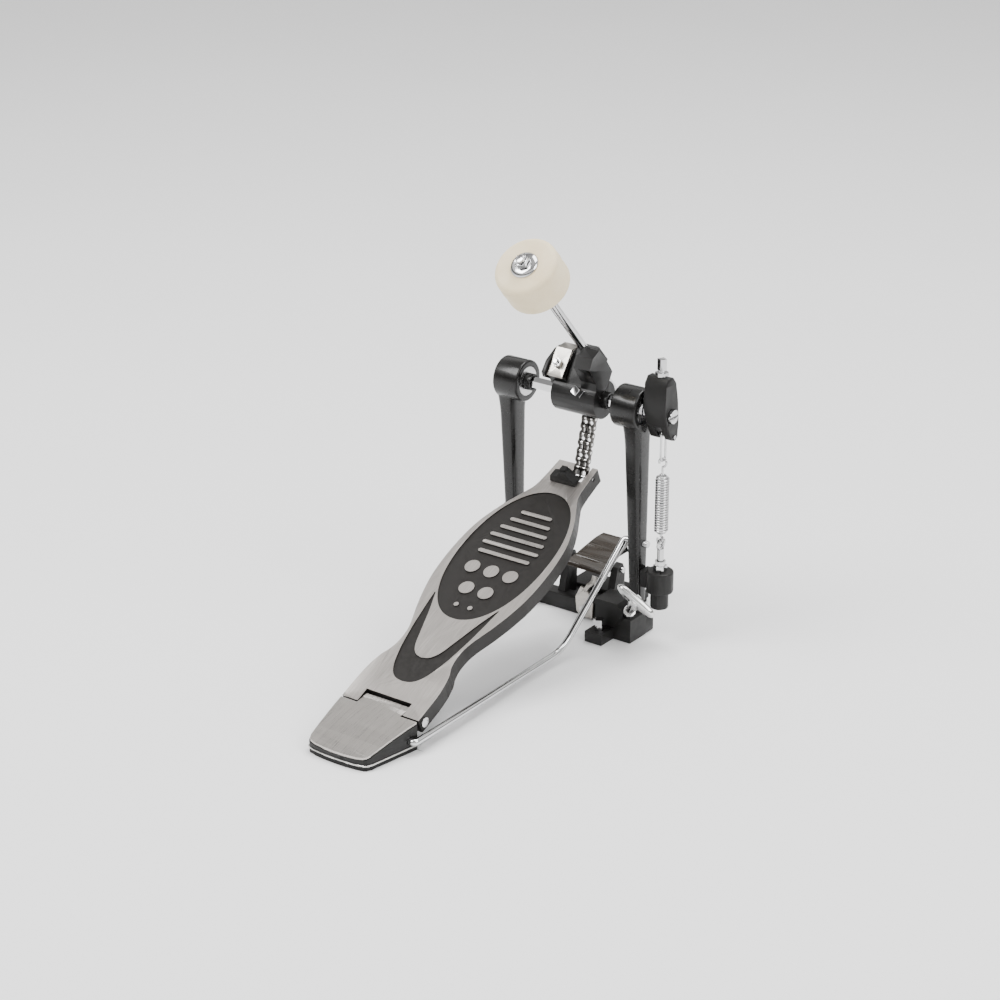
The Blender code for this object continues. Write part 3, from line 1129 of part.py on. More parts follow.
def rocker(turning):
    """The spring lever on the axle's right end, a clevis at its lower end."""
    outline = scaled([(-8, 24), (-4.5, 29), (2, 29), (6, 24), (9, 10), (10.5, -8), (9.5, -18), (6, -21),
                      (1.5, -19.5), (-5, -8), (-9, 4)])
    body = flat("spring_rocker", outline, ROCKER_LEFT_X, ROCKER_RIGHT_X, AXLE_SIDE)
    gap = box("clevis_gap", (SPRING_X - 3.2 * MM, -20 * MM, AXLE_Z - 40 * MM),
              (SPRING_X + 3.2 * MM, 20 * MM, AXLE_Z - 9 * MM))
    bore = rod("rocker_bore", (ROCKER_LEFT_X - 1 * MM, 0, AXLE_Z), (ROCKER_RIGHT_X + 1 * MM, 0, AXLE_Z),
               BORE_R, 24)
    pin_z = AXLE_Z - ROCKER_PIN_DROP
    pin_hole = rod("spring_pin_hole", (ROCKER_LEFT_X - 1 * MM, SPRING_Y, pin_z),
                   (ROCKER_RIGHT_X + 1 * MM, SPRING_Y, pin_z), SPRING_PIN_R + GAP, 14)
    key_hole = rod("rocker_key_hole", (SPRING_X, 0, AXLE_Z + 9 * MM), (SPRING_X, 0, AXLE_Z + 31 * MM),
                   2.4 * MM + GAP, 16)
    screw_seat = rod("screw_seat", (ROCKER_RIGHT_X - 0.8 * MM, 0, AXLE_Z),
                     (ROCKER_RIGHT_X + 2 * MM, 0, AXLE_Z), 5.6 * MM, 24)
    cut(body, gap, bore, pin_hole, key_hole, screw_seat)
    finish(body, CAST, turning, bevel=0.7 * MM)
    body.modifiers.move(len(body.modifiers) - 1, 0)
    pin = rod("spring_pin", (ROCKER_LEFT_X + 0.5 * MM, SPRING_Y, pin_z),
              (ROCKER_RIGHT_X + 0.8 * MM, SPRING_Y, pin_z), SPRING_PIN_R, 14)
    finish(pin, CHROME, turning)
    screw = rod("axle_end_screw", (AXLE_RIGHT_X + GAP, 0, AXLE_Z), (ROCKER_RIGHT_X + 2.6 * MM, 0, AXLE_Z),
                5.2 * MM, 24)
    slot = box("screw_slot", (ROCKER_RIGHT_X + 1.6 * MM, -9 * MM, AXLE_Z - 0.7 * MM),
               (ROCKER_RIGHT_X + 5 * MM, 9 * MM, AXLE_Z + 0.7 * MM))
    cut(screw, slot)
    finish(screw, CHROME, turning)
    key = rod("rocker_key_screw", (SPRING_X, 0, AXLE_Z + 10 * MM),
              (SPRING_X, 0, AXLE_Z + 34 * MM), 2.4 * MM, 16)
    head = rod("rocker_key_head", (SPRING_X, 0, AXLE_Z + 33.5 * MM),
               (SPRING_X, 0, AXLE_Z + 42 * MM), 3.6 * MM, 4, None, math.radians(15))
    nut = rod("rocker_key_nut", (SPRING_X, 0, AXLE_Z + 29 * MM + GAP),
              (SPRING_X, 0, AXLE_Z + 32 * MM), 5 * MM, 6)
    join(key, head, nut)
    finish(key, CHROME, axis_empty("rocker_key_axis", (SPRING_X, 0, AXLE_Z)))


def spring():
    """Coil, its two hooks and the long wire link up to the rocker's pin."""
    pin_z = AXLE_Z - ROCKER_PIN_DROP
    lower = axis_empty("spring_lower_axis", (SPRING_X, SPRING_Y, EYE_Z))
    upper = axis_empty("spring_upper_axis", (SPRING_X, SPRING_Y, COIL_TOP_Z))
    hook = hook_points(EYE_Z + HOOK_R, 1, COIL_BOTTOM_Z - GAP)
    finish(wire("spring_lower_hook", hook, SPRING_WIRE_R), STEEL, lower)
    hook = hook_points(UPPER_HOOK_Z, -1, COIL_TOP_Z + GAP)
    finish(wire("spring_upper_hook", hook, SPRING_WIRE_R), STEEL, upper)
    link_half = SPRING_PIN_R + 2.5 * GAP + SPRING_WIRE_R
    low_z = UPPER_HOOK_Z + HOOK_R + link_half - 2 * SPRING_WIRE_R - GAP
    outline = stadium(Vector((SPRING_Y, pin_z)), Vector((SPRING_Y, low_z)), link_half, 8)
    loop = [Vector((SPRING_X, y, z)) for y, z in outline]
    finish(wire("spring_link", loop, SPRING_WIRE_R, closed=True), STEEL, upper)
    coil = rod("spring_coil", on_spring_line(COIL_BOTTOM_Z), on_spring_line(COIL_TOP_Z), COIL_R, 20)
    finish(coil, STEEL, lower)


def hook_points(centre_z, way, end_z):
    """An open hook in the X-Z plane round a centre, with its tail running to the coil."""
    steps = 12
    points = [Vector((SPRING_X, SPRING_Y, end_z))]
    for step in range(steps + 1):
        angle = math.radians(90 - 295 * step / steps)
        points.append(Vector((SPRING_X + HOOK_R * math.cos(angle), SPRING_Y,
                              centre_z + way * HOOK_R * math.sin(angle))))
    return points


def build():
    base_casting()
    base_fittings()
    hoop_jaw()
    clamp_parts()
    for side, name in ((-1, "left_post"), (1, "right_post")):
        post(side, name)
    spring_boss()
    axle_centre = (0, 0, AXLE_Z)
    turning = axis_empty("axle_axis", axle_centre)
    axle_group(turning)
    rocker(turning)
    chain(turning)
    beater(axis_empty("beater_slide", on_beater(ROD_X, 0)))
    spring()
    footboard(axis_empty("footboard_hinge", (0, *HINGE)))
    lifting = axis_empty("radius_rod_pivot", (0, ROD_PIVOT_Y, ROD_PIVOT_Z))
    heel(lifting)
    radius_rod(-1, "left_radius_rod", lifting)
    radius_rod(1, "right_radius_rod", lifting)


build()
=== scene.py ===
"""Looks of the bass drum pedal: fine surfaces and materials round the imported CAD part.

Shapes are laid out as in the part's source, in metres with Y = 0 at the axle, and piece() carries
each one to the frame.  Lengths are in millimetres times MM.
"""

import json
import math

import bmesh
import bpy
from mathutils import Matrix, Vector

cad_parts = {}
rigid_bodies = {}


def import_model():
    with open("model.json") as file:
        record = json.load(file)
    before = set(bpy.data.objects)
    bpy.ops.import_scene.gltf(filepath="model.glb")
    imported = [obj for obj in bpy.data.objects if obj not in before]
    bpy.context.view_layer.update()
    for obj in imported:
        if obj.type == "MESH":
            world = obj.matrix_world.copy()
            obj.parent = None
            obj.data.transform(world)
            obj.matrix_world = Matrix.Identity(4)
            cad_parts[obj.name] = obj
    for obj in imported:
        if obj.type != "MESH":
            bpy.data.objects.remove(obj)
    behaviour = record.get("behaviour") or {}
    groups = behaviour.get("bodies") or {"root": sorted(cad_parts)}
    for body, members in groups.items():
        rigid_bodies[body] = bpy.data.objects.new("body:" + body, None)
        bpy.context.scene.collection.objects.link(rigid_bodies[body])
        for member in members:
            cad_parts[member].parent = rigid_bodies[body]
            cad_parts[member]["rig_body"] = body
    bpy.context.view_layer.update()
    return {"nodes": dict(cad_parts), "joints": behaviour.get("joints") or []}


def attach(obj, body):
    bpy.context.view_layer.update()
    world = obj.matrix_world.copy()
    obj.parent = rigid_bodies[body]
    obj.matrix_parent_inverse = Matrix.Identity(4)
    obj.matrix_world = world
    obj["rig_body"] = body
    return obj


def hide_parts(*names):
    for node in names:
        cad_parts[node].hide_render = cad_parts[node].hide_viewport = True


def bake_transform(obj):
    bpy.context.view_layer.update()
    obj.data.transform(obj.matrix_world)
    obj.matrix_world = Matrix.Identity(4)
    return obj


MM = 0.001
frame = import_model()
JOINTS = {joint["name"]: joint for joint in frame["joints"]}


def joint_at(name):
    """A joint's point as layout (X, Y, Z)."""
    x, y, z = JOINTS[name]["pos_m"]
    return Vector((x, y - LAYOUT_Y, z))


LAYOUT_Y = JOINTS["axle_turn"]["pos_m"][1]
AXLE_Z = joint_at("axle_turn").z
HINGE = joint_at("footboard_press")
ANCHOR = joint_at("chain_drop_swing")
SPRING_EYE = joint_at("spring_swing")
ROD_PIVOT = joint_at("heel_lift")

BOARD_SLOPE = math.radians(23.2)
BOARD_LENGTH = 263 * MM
BOARD_DEPTH = 12 * MM
BOARD_SKIN = 4.5 * MM
HINGE_ALONG = 4.5 * MM
HINGE_BELOW = 5.6 * MM
RECESS_DEPTH = 0.9 * MM
OVAL_MIDDLE = 160.5 * MM
OVAL_HALF_LENGTH = 68.5 * MM
OVAL_HALF_WIDTH = 37.3 * MM
PITCH = 6.35 * MM
PITCH_R = 17.4 * MM
DROP_LINKS = 10
LEAVE_ANGLE = math.radians(-14.2)
BEATER_LEAN = math.radians(42.5)
ROD_OFFSET = 26 * MM
ROD_X = 6 * MM
FELT_LOW = 106 * MM
FELT_HEIGHT = 29 * MM
FELT_R = 24 * MM
POST_X = 56 * MM
BARREL_R = 15.9 * MM
BARREL_IN_X = 41.4 * MM
BARREL_OUT_X = 63.2 * MM
BLOCK_TOP_Z = 29.3 * MM
BEARING_BORE_R = 8.2 * MM
BEARING_SEAT_R = 11.3 * MM
BEARING_SEAT_DEPTH = 7.3 * MM
BEATER_ROD_R = 3.3 * MM
BEATER_BORE_R = 3.6 * MM          # bore of the felt and of its washer
RADIUS_ROD_R = 2.5 * MM
HEEL_ROD_Z = 9 * MM               # height of the radius rods' level stretch
LINK_PLATE = 0.8 * MM
SPRING_WIRE_R = 0.8 * MM
HOOK_R = 3.1 * MM
UPPER_HOOK_Z = 145 * MM
COIL_LOW = 88 * MM
COIL_HIGH = 136 * MM
COIL_TURNS = 24
SPRING_PIN_DROP = 17.5 * MM       # spring pin, below the axle
SPRING_LINK_HALF = 3.05 * MM
WING_OUT = 29.4 * MM              # middle of the wings, out from the bolt's joint
WING_HALF = 17.8 * MM
WING_LINE = Vector((0.821, 0.139, -0.554)).normalized()

ALONG = Vector((0, math.cos(BOARD_SLOPE), math.sin(BOARD_SLOPE)))
ABOVE = Vector((0, -math.sin(BOARD_SLOPE), math.cos(BOARD_SLOPE)))
BOARD_REAR = Vector((0, HINGE.y, HINGE.z)) - ALONG * HINGE_ALONG + ABOVE * HINGE_BELOW
ROD_DIR = Vector((0, -math.sin(BEATER_LEAN), math.cos(BEATER_LEAN)))
ROD_OUT = Vector((0, math.cos(BEATER_LEAN), math.sin(BEATER_LEAN)))
CHAIN_DIR = Vector((0, -math.sin(LEAVE_ANGLE), math.cos(LEAVE_ANGLE)))

SIDE = Matrix(((0, 0, 1, 0), (1, 0, 0, 0), (0, 1, 0, 0), (0, 0, 0, 1)))
PLAN = Matrix.Identity(4)
BOARD = Matrix.Translation(BOARD_REAR) @ Matrix.Rotation(BOARD_SLOPE, 4, "X")


# ---------------------------------------------------------------- materials

class Look:
    """A Principled material that is given its detail node by node, in the object's own space."""

    def __init__(self, name, colour, roughness, metallic=0.0):
        self.material = bpy.data.materials.new(name)
        self.material.use_nodes = True
        self.tree = self.material.node_tree
        self.shader = self.tree.nodes["Principled BSDF"]
        self.set("Base Color", (*colour, 1))
        self.set("Roughness", roughness)
        self.set("Metallic", metallic)
        self.place = self.add("ShaderNodeTexCoord").outputs["Object"]
        self.relief = None

    def set(self, socket, value):
        if isinstance(value, bpy.types.NodeSocket):
            self.tree.links.new(value, self.shader.inputs[socket])
        else:
            self.shader.inputs[socket].default_value = value

    def add(self, kind, settings=None, **inputs):
        """A node with its inputs set or linked; _0 is the first input, and so on."""
        node = self.tree.nodes.new(kind)
        for key, value in (settings or {}).items():
            setattr(node, key, value)
        for key, value in inputs.items():
            socket = node.inputs[int(key[1:])] if key[0] == "_" else node.inputs[key]
            if isinstance(value, bpy.types.NodeSocket):
                self.tree.links.new(value, socket)
            else:
                socket.default_value = value
        return node

    def stretched(self, scale, turn=(0, 0, 0)):
        return self.add("ShaderNodeMapping", Vector=self.place, Scale=scale, Rotation=turn).outputs[0]

    def noise(self, scale, detail=4, rough=0.55, place=None):
        node = self.add("ShaderNodeTexNoise", Vector=place or self.place, Scale=scale, Detail=detail,
                        Roughness=rough)
        return node.outputs["Fac"]

    def spread(self, value, low, high, to_low=0.0, to_high=1.0):
        """Map low..high onto to_low..to_high, held at the ends."""
        node = self.add("ShaderNodeMapRange", {"clamp": True}, _0=value, _1=low, _2=high, _3=to_low,
                        _4=to_high)
        return node.outputs[0]

    def maths(self, operation, a, b=0.0):
        return self.add("ShaderNodeMath", {"operation": operation}, _0=a, _1=b).outputs[0]

    def mix(self, share, first, second):
        node = self.add("ShaderNodeMix", {"data_type": "RGBA"}, _0=share,
                        _6=first if isinstance(first, bpy.types.NodeSocket) else (*first, 1),
                        _7=second if isinstance(second, bpy.types.NodeSocket) else (*second, 1))
        return node.outputs[2]

    def bump(self, height, depth, strength=1.0):
        inputs = {"Height": height, "Distance": depth, "Strength": strength}
        if self.relief:
            inputs["Normal"] = self.relief
        self.relief = self.add("ShaderNodeBump", **inputs).outputs[0]
        self.set("Normal", self.relief)


def polished(name, colour, roughness, smudge=0.1):
    """Plated or polished metal with faint smudges and hairline scratches."""
    look = Look(name, colour, roughness, 1.0)
    film = look.noise(90, 5, 0.6)
    hair = look.noise(900, 2, 0.5, look.stretched((0.15, 1, 0.15)))
    marks = look.spread(look.maths("ADD", film, look.maths("MULTIPLY", hair, 0.4)), 0.45, 0.95)
    look.set("Roughness", look.spread(marks, 0, 1, roughness, roughness + smudge))
    darker = tuple(c * 0.8 for c in colour)
    look.set("Base Color", look.mix(look.spread(look.noise(45, 6, 0.65), 0.45, 0.8), colour, darker))
    look.bump(hair, 0.006 * MM, 0.25)
    return look


def brushed(name, colour, roughness, grain, depth=0.012 * MM):
    """Brushed sheet: long fine streaks, faint stains and rubbed patches."""
    look = Look(name, colour, roughness, 1.0)
    streaks = look.noise(1, 3, 0.7, look.stretched(grain))
    fine = look.noise(2.7, 2, 0.6, look.stretched(grain))
    both = look.maths("ADD", look.maths("MULTIPLY", streaks, 0.6), look.maths("MULTIPLY", fine, 0.4))
    stains = look.spread(look.noise(28, 6, 0.6), 0.42, 0.75)
    look.set("Roughness", look.spread(both, 0.3, 0.7, roughness - 0.07, roughness + 0.1))
    darker = tuple(c * 0.82 for c in colour)
    lighter = tuple(min(1, c * 1.08) for c in colour)
    tone = look.mix(look.spread(both, 0.35, 0.65), darker, lighter)
    worn = tuple(c * f for c, f in zip(colour, (0.8, 0.79, 0.77)))
    look.set("Base Color", look.mix(look.maths("MULTIPLY", stains, 0.4), tone, worn))
    look.bump(both, depth, 0.5)
    return look


def painted(name, colour, roughness, grain=0.02 * MM, coat=0.0, warm=0.0):
    """Painted or coated casting: a fine skin, dust and a little rubbed sheen."""
    look = Look(name, colour, roughness)
    skin = look.noise(1400, 3, 0.6)
    waves = look.noise(130, 3, 0.5)
    dust = look.spread(look.noise(60, 7, 0.7), 0.5, 0.8)
    dusty = tuple(c + 0.006 for c in colour)
    brown = tuple(c * f + 0.004 * warm for c, f in zip(colour, (1.5, 1.2, 0.9)))
    tone = look.mix(look.maths("MULTIPLY", waves, warm), colour, brown)
    look.set("Base Color", look.mix(look.maths("MULTIPLY", dust, 0.5), tone, dusty))
    rubbed = look.noise(75, 6, 0.65)
    look.set("Roughness", look.spread(rubbed, 0.3, 0.75, roughness - 0.06, roughness + 0.14))
    look.set("Coat Weight", coat)
    look.set("Specular IOR Level", 0.3)
    look.set("Coat Roughness", 0.12)
    look.bump(skin, grain, 0.5)
    look.bump(waves, 0.012 * MM, 0.25)
    return look


def rubber(name, colour, roughness=0.62):
    """Matt rubber with fine pores and a faint bloom."""
    look = Look(name, colour, roughness)
    pores = look.noise(1100, 5, 0.7)
    bloom = look.spread(look.noise(70, 6, 0.7), 0.45, 0.8)
    dusty = tuple(c + 0.008 for c in colour)
    look.set("Base Color", look.mix(look.maths("MULTIPLY", bloom, 0.6), colour, dusty))
    look.set("Roughness", look.spread(pores, 0.3, 0.7, roughness - 0.08, roughness + 0.16))
    look.set("Specular IOR Level", 0.3)
    look.bump(pores, 0.05 * MM, 0.6)
    return look


def felt_look():
    """Pressed wool: matted short fibres, faint layers and soft stains."""
    look = Look("wool_felt", (0.86, 0.76, 0.55), 0.95)
    fibres = look.noise(1700, 6, 0.8)
    tufts = look.noise(420, 5, 0.7)
    clouds = look.noise(34, 5, 0.6)
    tone = look.mix(look.spread(clouds, 0.35, 0.7), (0.84, 0.72, 0.5), (0.74, 0.6, 0.37))
    fleck = look.spread(look.noise(760, 3, 0.6), 0.62, 0.8)
    tone = look.mix(look.maths("MULTIPLY", fleck, 0.3), tone, (0.55, 0.42, 0.24))
    look.set("Base Color", look.mix(look.maths("MULTIPLY", look.spread(fibres, 0.4, 0.6), 0.25), tone,
                                    (0.9, 0.8, 0.6)))
    look.set("Sheen Weight", 0.15)
    look.set("Sheen Roughness", 0.5)
    look.bump(tufts, 0.3 * MM, 0.6)
    look.bump(fibres, 0.14 * MM, 0.8)
    return look


def board_look():
    """Brushed silver on the footboard's level top; black paint in its recesses and on its sides."""
    look = Look("footboard_finish", (0.6, 0.57, 0.54), 0.36)
    rear = BOARD_REAR + Vector((0, LAYOUT_Y, 0))
    from_rear = look.add("ShaderNodeVectorMath", {"operation": "SUBTRACT"}, _0=look.place,
                         _1=tuple(rear)).outputs[0]
    height = look.add("ShaderNodeVectorMath", {"operation": "DOT_PRODUCT"}, _0=from_rear,
                      _1=tuple(ABOVE)).outputs["Value"]
    level = look.maths("GREATER_THAN", height, -0.32 * MM)
    lined_up = look.stretched((1, 1, 1), (-BOARD_SLOPE, 0, 0))
    grain = look.add("ShaderNodeMapping", Vector=lined_up, Scale=(2600, 34, 34)).outputs[0]
    streaks = look.noise(1, 3, 0.7, grain)
    fine = look.noise(2.9, 2, 0.6, grain)
    both = look.maths("ADD", look.maths("MULTIPLY", streaks, 0.6), look.maths("MULTIPLY", fine, 0.4))
    silver = look.mix(look.spread(both, 0.36, 0.64), (0.36, 0.335, 0.315), (0.56, 0.53, 0.505))
    rubbed = look.spread(look.noise(22, 6, 0.6), 0.45, 0.75)
    silver = look.mix(look.maths("MULTIPLY", rubbed, 0.35), silver, (0.4, 0.37, 0.34))
    speck = look.noise(300, 6, 0.75)
    black = look.mix(look.spread(speck, 0.45, 0.75), (0.008, 0.0068, 0.006), (0.016, 0.0138, 0.0122))
    look.set("Base Color", look.mix(level, black, silver))
    look.set("Metallic", look.maths("MULTIPLY", level, 0.92))
    look.set("Specular IOR Level", 0.3)
    silver_rough = look.spread(both, 0.3, 0.7, 0.3, 0.46)
    black_rough = look.spread(speck, 0.3, 0.7, 0.34, 0.56)
    rough = look.add("ShaderNodeMix", {"data_type": "FLOAT"}, _0=level, _2=black_rough, _3=silver_rough)
    look.set("Roughness", rough.outputs[0])
    look.bump(both, 0.012 * MM, 0.4)
    look.bump(look.noise(900, 4, 0.7), 0.02 * MM, 0.4)
    return look


LOOKS = {
    "chrome": polished("chrome_plate", (0.66, 0.66, 0.665), 0.06),
    "bright_chrome": polished("wing_bolt_plate", (0.8, 0.8, 0.79), 0.12, 0.12),
    "steel": polished("bright_steel", (0.6, 0.6, 0.6), 0.22),
    "chain_plate": polished("blackened_link", (0.09, 0.085, 0.08), 0.26),
    "chain_roller": polished("chain_roller_steel", (0.75, 0.74, 0.72), 0.16),
    "sheet": brushed("clamp_sheet", (0.52, 0.495, 0.46), 0.3, (60, 60, 1400)),
    "heel_sheet": brushed("heel_sheet", (0.5, 0.475, 0.45), 0.3, (2400, 36, 36)),
    "edge_sheet": brushed("heel_edge_sheet", (0.66, 0.65, 0.63), 0.3, (60, 60, 900)),
    "gloss_black": painted("post_paint", (0.007, 0.0068, 0.0065), 0.24, 0.008 * MM, 0.12),
    "cast_black": painted("cast_paint", (0.008, 0.0077, 0.0073), 0.42, 0.03 * MM),
    "hub_black": painted("hub_finish", (0.007, 0.0067, 0.0065), 0.32, 0.014 * MM),
    "jaw_black": painted("jaw_paint", (0.02, 0.016, 0.012), 0.24, 0.006 * MM, 0.3, 0.6),
    "rubber": rubber("black_rubber", (0.009, 0.0087, 0.0085)),
    "felt": felt_look(),
    "board": board_look(),
}


# ---------------------------------------------------------------- shapes

def new_object(name, mesh):
    obj = bpy.data.objects.new(name, mesh)
    bpy.context.scene.collection.objects.link(obj)
    return obj


def from_bmesh(name, bm):
    bmesh.ops.recalc_face_normals(bm, faces=bm.faces)
    mesh = bpy.data.meshes.new(name)
    bm.to_mesh(mesh)
    bm.free()
    return new_object(name, mesh)


def baked(obj):
    """The same object with its modifiers made part of its mesh."""
    graph = bpy.context.evaluated_depsgraph_get()
    mesh = bpy.data.meshes.new_from_object(obj.evaluated_get(graph))
    old = obj.data
    obj.modifiers.clear()
    obj.data = mesh
    bpy.data.meshes.remove(old)
    return obj


def aim(start, end):
    start = Vector(start)
    end = Vector(end)
    turn = (end - start).to_track_quat("Z", "Y").to_matrix().to_4x4()
    return Matrix.Translation((start + end) / 2) @ turn


def rod(name, start, end, radius, sides=48, end_radius=None):
    bm = bmesh.new()
    length = (Vector(end) - Vector(start)).length
    matrix = aim(start, end)
    bmesh.ops.create_cone(bm, cap_ends=True, segments=sides, radius1=radius,
                          radius2=radius if end_radius is None else end_radius, depth=length, matrix=matrix)
    return from_bmesh(name, bm)


def block(name, low, high, matrix=PLAN):
    bm = bmesh.new()
    low = Vector(low)
    high = Vector(high)
    place = Matrix.Translation((low + high) / 2) @ Matrix.Diagonal((*(high - low), 1))
    bmesh.ops.create_cube(bm, size=1, matrix=matrix @ place)
    return from_bmesh(name, bm)


def flat(name, outline, low, high, matrix):
    """An outline of (u, v) points, extruded from low to high along the matrix's third axis."""
    bm = bmesh.new()
    face = bm.faces.new([bm.verts.new(matrix @ Vector((u, v, low))) for u, v in outline])
    grown = bmesh.ops.extrude_face_region(bm, geom=[face])
    shift = matrix.to_3x3() @ Vector((0, 0, high - low))
    top = [v for v in grown["geom"] if isinstance(v, bmesh.types.BMVert)]
    bmesh.ops.translate(bm, vec=shift, verts=top)
    return from_bmesh(name, bm)


def turned(name, profile, start, end, steps=72):
    """A closed profile of (radius, height) points, turned round the line from start to end."""
    bm = bmesh.new()
    turn = (Vector(end) - Vector(start)).to_track_quat("Z", "Y").to_matrix().to_4x4()
    matrix = Matrix.Translation(Vector(start)) @ turn
    rows = []
    for step in range(steps):
        angle = math.tau * step / steps
        rows.append([bm.verts.new(matrix @ Vector((r * math.cos(angle), r * math.sin(angle), h)))
                     for r, h in profile])
    count = len(profile)
    for step in range(steps):
        here = rows[step]
        after = rows[(step + 1) % steps]
        for i in range(count):
            j = (i + 1) % count
            bm.faces.new((here[i], here[j], after[j], after[i]))
    bmesh.ops.remove_doubles(bm, verts=bm.verts, dist=0.001 * MM)
    return from_bmesh(name, bm)


def tube(name, points, radius, sides=20, closed=False):
    """A round wire along the points, its section carried round without twist."""
    bm = bmesh.new()
    points = [Vector(p) for p in points]
    count = len(points)
    heads = []
    for index, point in enumerate(points):
        before = points[index - 1] if index or closed else point
        after = points[(index + 1) % count] if index < count - 1 or closed else point
        heads.append((after - before).normalized())
    side = heads[0].orthogonal().normalized()
    rows = []
    for point, head in zip(points, heads):
        side = (side - head * side.dot(head)).normalized()
        up = head.cross(side)
        rows.append([bm.verts.new(point + (side * math.cos(a) + up * math.sin(a)) * radius)
                     for a in (math.tau * i / sides for i in range(sides))])
    pairs = list(zip(rows, rows[1:]))
    if closed:
        pairs.append((rows[-1], rows[0]))
    for here, after in pairs:
        for i in range(sides):
            j = (i + 1) % sides
            bm.faces.new((here[i], here[j], after[j], after[i]))
    if not closed:
        bm.faces.new(rows[0][::-1])
        bm.faces.new(rows[-1])
    return from_bmesh(name, bm)


def loft(name, sections):
    """A closed skin through rings of points that have the same count."""
    bm = bmesh.new()
    rows = [[bm.verts.new(p) for p in section] for section in sections]
    count = len(rows[0])
    for here, after in zip(rows, rows[1:]):
        for i in range(count):
            j = (i + 1) % count
            bm.faces.new((here[i], here[j], after[j], after[i]))
    bm.faces.new(rows[0])
    bm.faces.new(rows[-1])
    return from_bmesh(name, bm)


def combine(obj, others, operation):
    """Cut or join other shapes, which are used up."""
    for other in others:
        modifier = obj.modifiers.new(operation.lower(), "BOOLEAN")
        modifier.operation = operation
        modifier.object = other
    baked(obj)
    for other in others:
        bpy.data.objects.remove(other)
    return obj


def cut(obj, *others):
    return combine(obj, others, "DIFFERENCE")


def join(obj, *others):
    return combine(obj, others, "UNION")


def gather(name, parts):
    """Several separate bodies of one look in one object."""
    bm = bmesh.new()
    for part in parts:
        bm.from_mesh(part.data)
        bpy.data.objects.remove(part)
    mesh = bpy.data.meshes.new(name)
    bm.to_mesh(mesh)
    bm.free()
    return new_object(name, mesh)


def rounded(obj, width, segments=2, angle=35):
    """Merge level faces and round the edges, so that each edge takes a highlight."""
    bm = bmesh.new()
    bm.from_mesh(obj.data)
    bmesh.ops.remove_doubles(bm, verts=bm.verts, dist=0.003 * MM)
    bmesh.ops.dissolve_limit(bm, angle_limit=math.radians(1), verts=bm.verts, edges=bm.edges)
    bm.to_mesh(obj.data)
    bm.free()
    bevel = obj.modifiers.new("rounding", "BEVEL")
    bevel.width = width
    bevel.segments = segments
    bevel.limit_method = "ANGLE"
    bevel.angle_limit = math.radians(angle)
    return baked(obj)


def piece(obj, look, body, nodes=(), smooth=35):
    """Give a shape its look, carry it from the layout to the frame and hand it to its body."""
    obj.data.transform(Matrix.Translation((0, LAYOUT_Y, 0)))
    obj.data.materials.clear()
    obj.data.materials.append(LOOKS[look].material)
    obj.data.shade_smooth()
    obj.data.set_sharp_from_angle(angle=math.radians(smooth))
    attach(obj, body)
    if nodes:
        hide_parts(*([nodes] if isinstance(nodes, str) else nodes))
    return obj


def soften(node, width, segments=2, angle=35):
    """A copy of a CAD node in the layout, with its edges rounded."""
    source = frame["nodes"][node]
    mesh = source.data.copy()
    mesh.transform(Matrix.Translation((0, -LAYOUT_Y, 0)) @ source.matrix_world)
    bm = bmesh.new()
    bm.from_mesh(mesh)
    obj = from_bmesh(node + "_fine", bm)
    return rounded(obj, width, segments, angle)


# ---------------------------------------------------------------- camera, floor and light

def stage():
    camera_data = bpy.data.cameras.new("camera")
    camera = new_object("camera", camera_data)
    camera_data.lens = 92
    camera_data.clip_end = 50
    azimuth = math.radians(36)
    elevation = math.radians(22.6)
    back = Vector((math.sin(azimuth) * math.cos(elevation), -math.cos(azimuth) * math.cos(elevation),
                   math.sin(elevation)))
    camera.location = (0.9965, -1.4644 + LAYOUT_Y, 0.8353)
    camera.rotation_mode = "QUATERNION"
    camera.rotation_quaternion = (-back).to_track_quat("-Z", "Y")
    bpy.context.scene.camera = camera

    bm = bmesh.new()
    bmesh.ops.create_grid(bm, x_segments=8, y_segments=8, size=9)
    floor = from_bmesh("floor", bm)
    ground = Look("floor_paint", (0.93, 0.93, 0.935), 0.55)
    ground.set("Roughness", ground.spread(ground.noise(3, 4), 0.3, 0.7, 0.5, 0.62))
    floor.data.materials.append(ground.material)
    floor.location.z = -0.2 * MM

    lamps = [("key", (-0.9, -1.2, 1.9), 1.1, 52), ("fill", (1.6, -0.2, 1.5), 1.2, 26),
             ("top", (0.1, 0.6, 2.2), 1.3, 46)]
    for name, place, size, power in lamps:
        data = bpy.data.lights.new(name, "AREA")
        data.size = size
        data.energy = power
        lamp = new_object(name, data)
        lamp.location = place
        aim_at = Vector((0, -0.1, 0.1)) - Vector(place)
        lamp.rotation_mode = "QUATERNION"
        lamp.rotation_quaternion = aim_at.to_track_quat("-Z", "Y")
    surround()


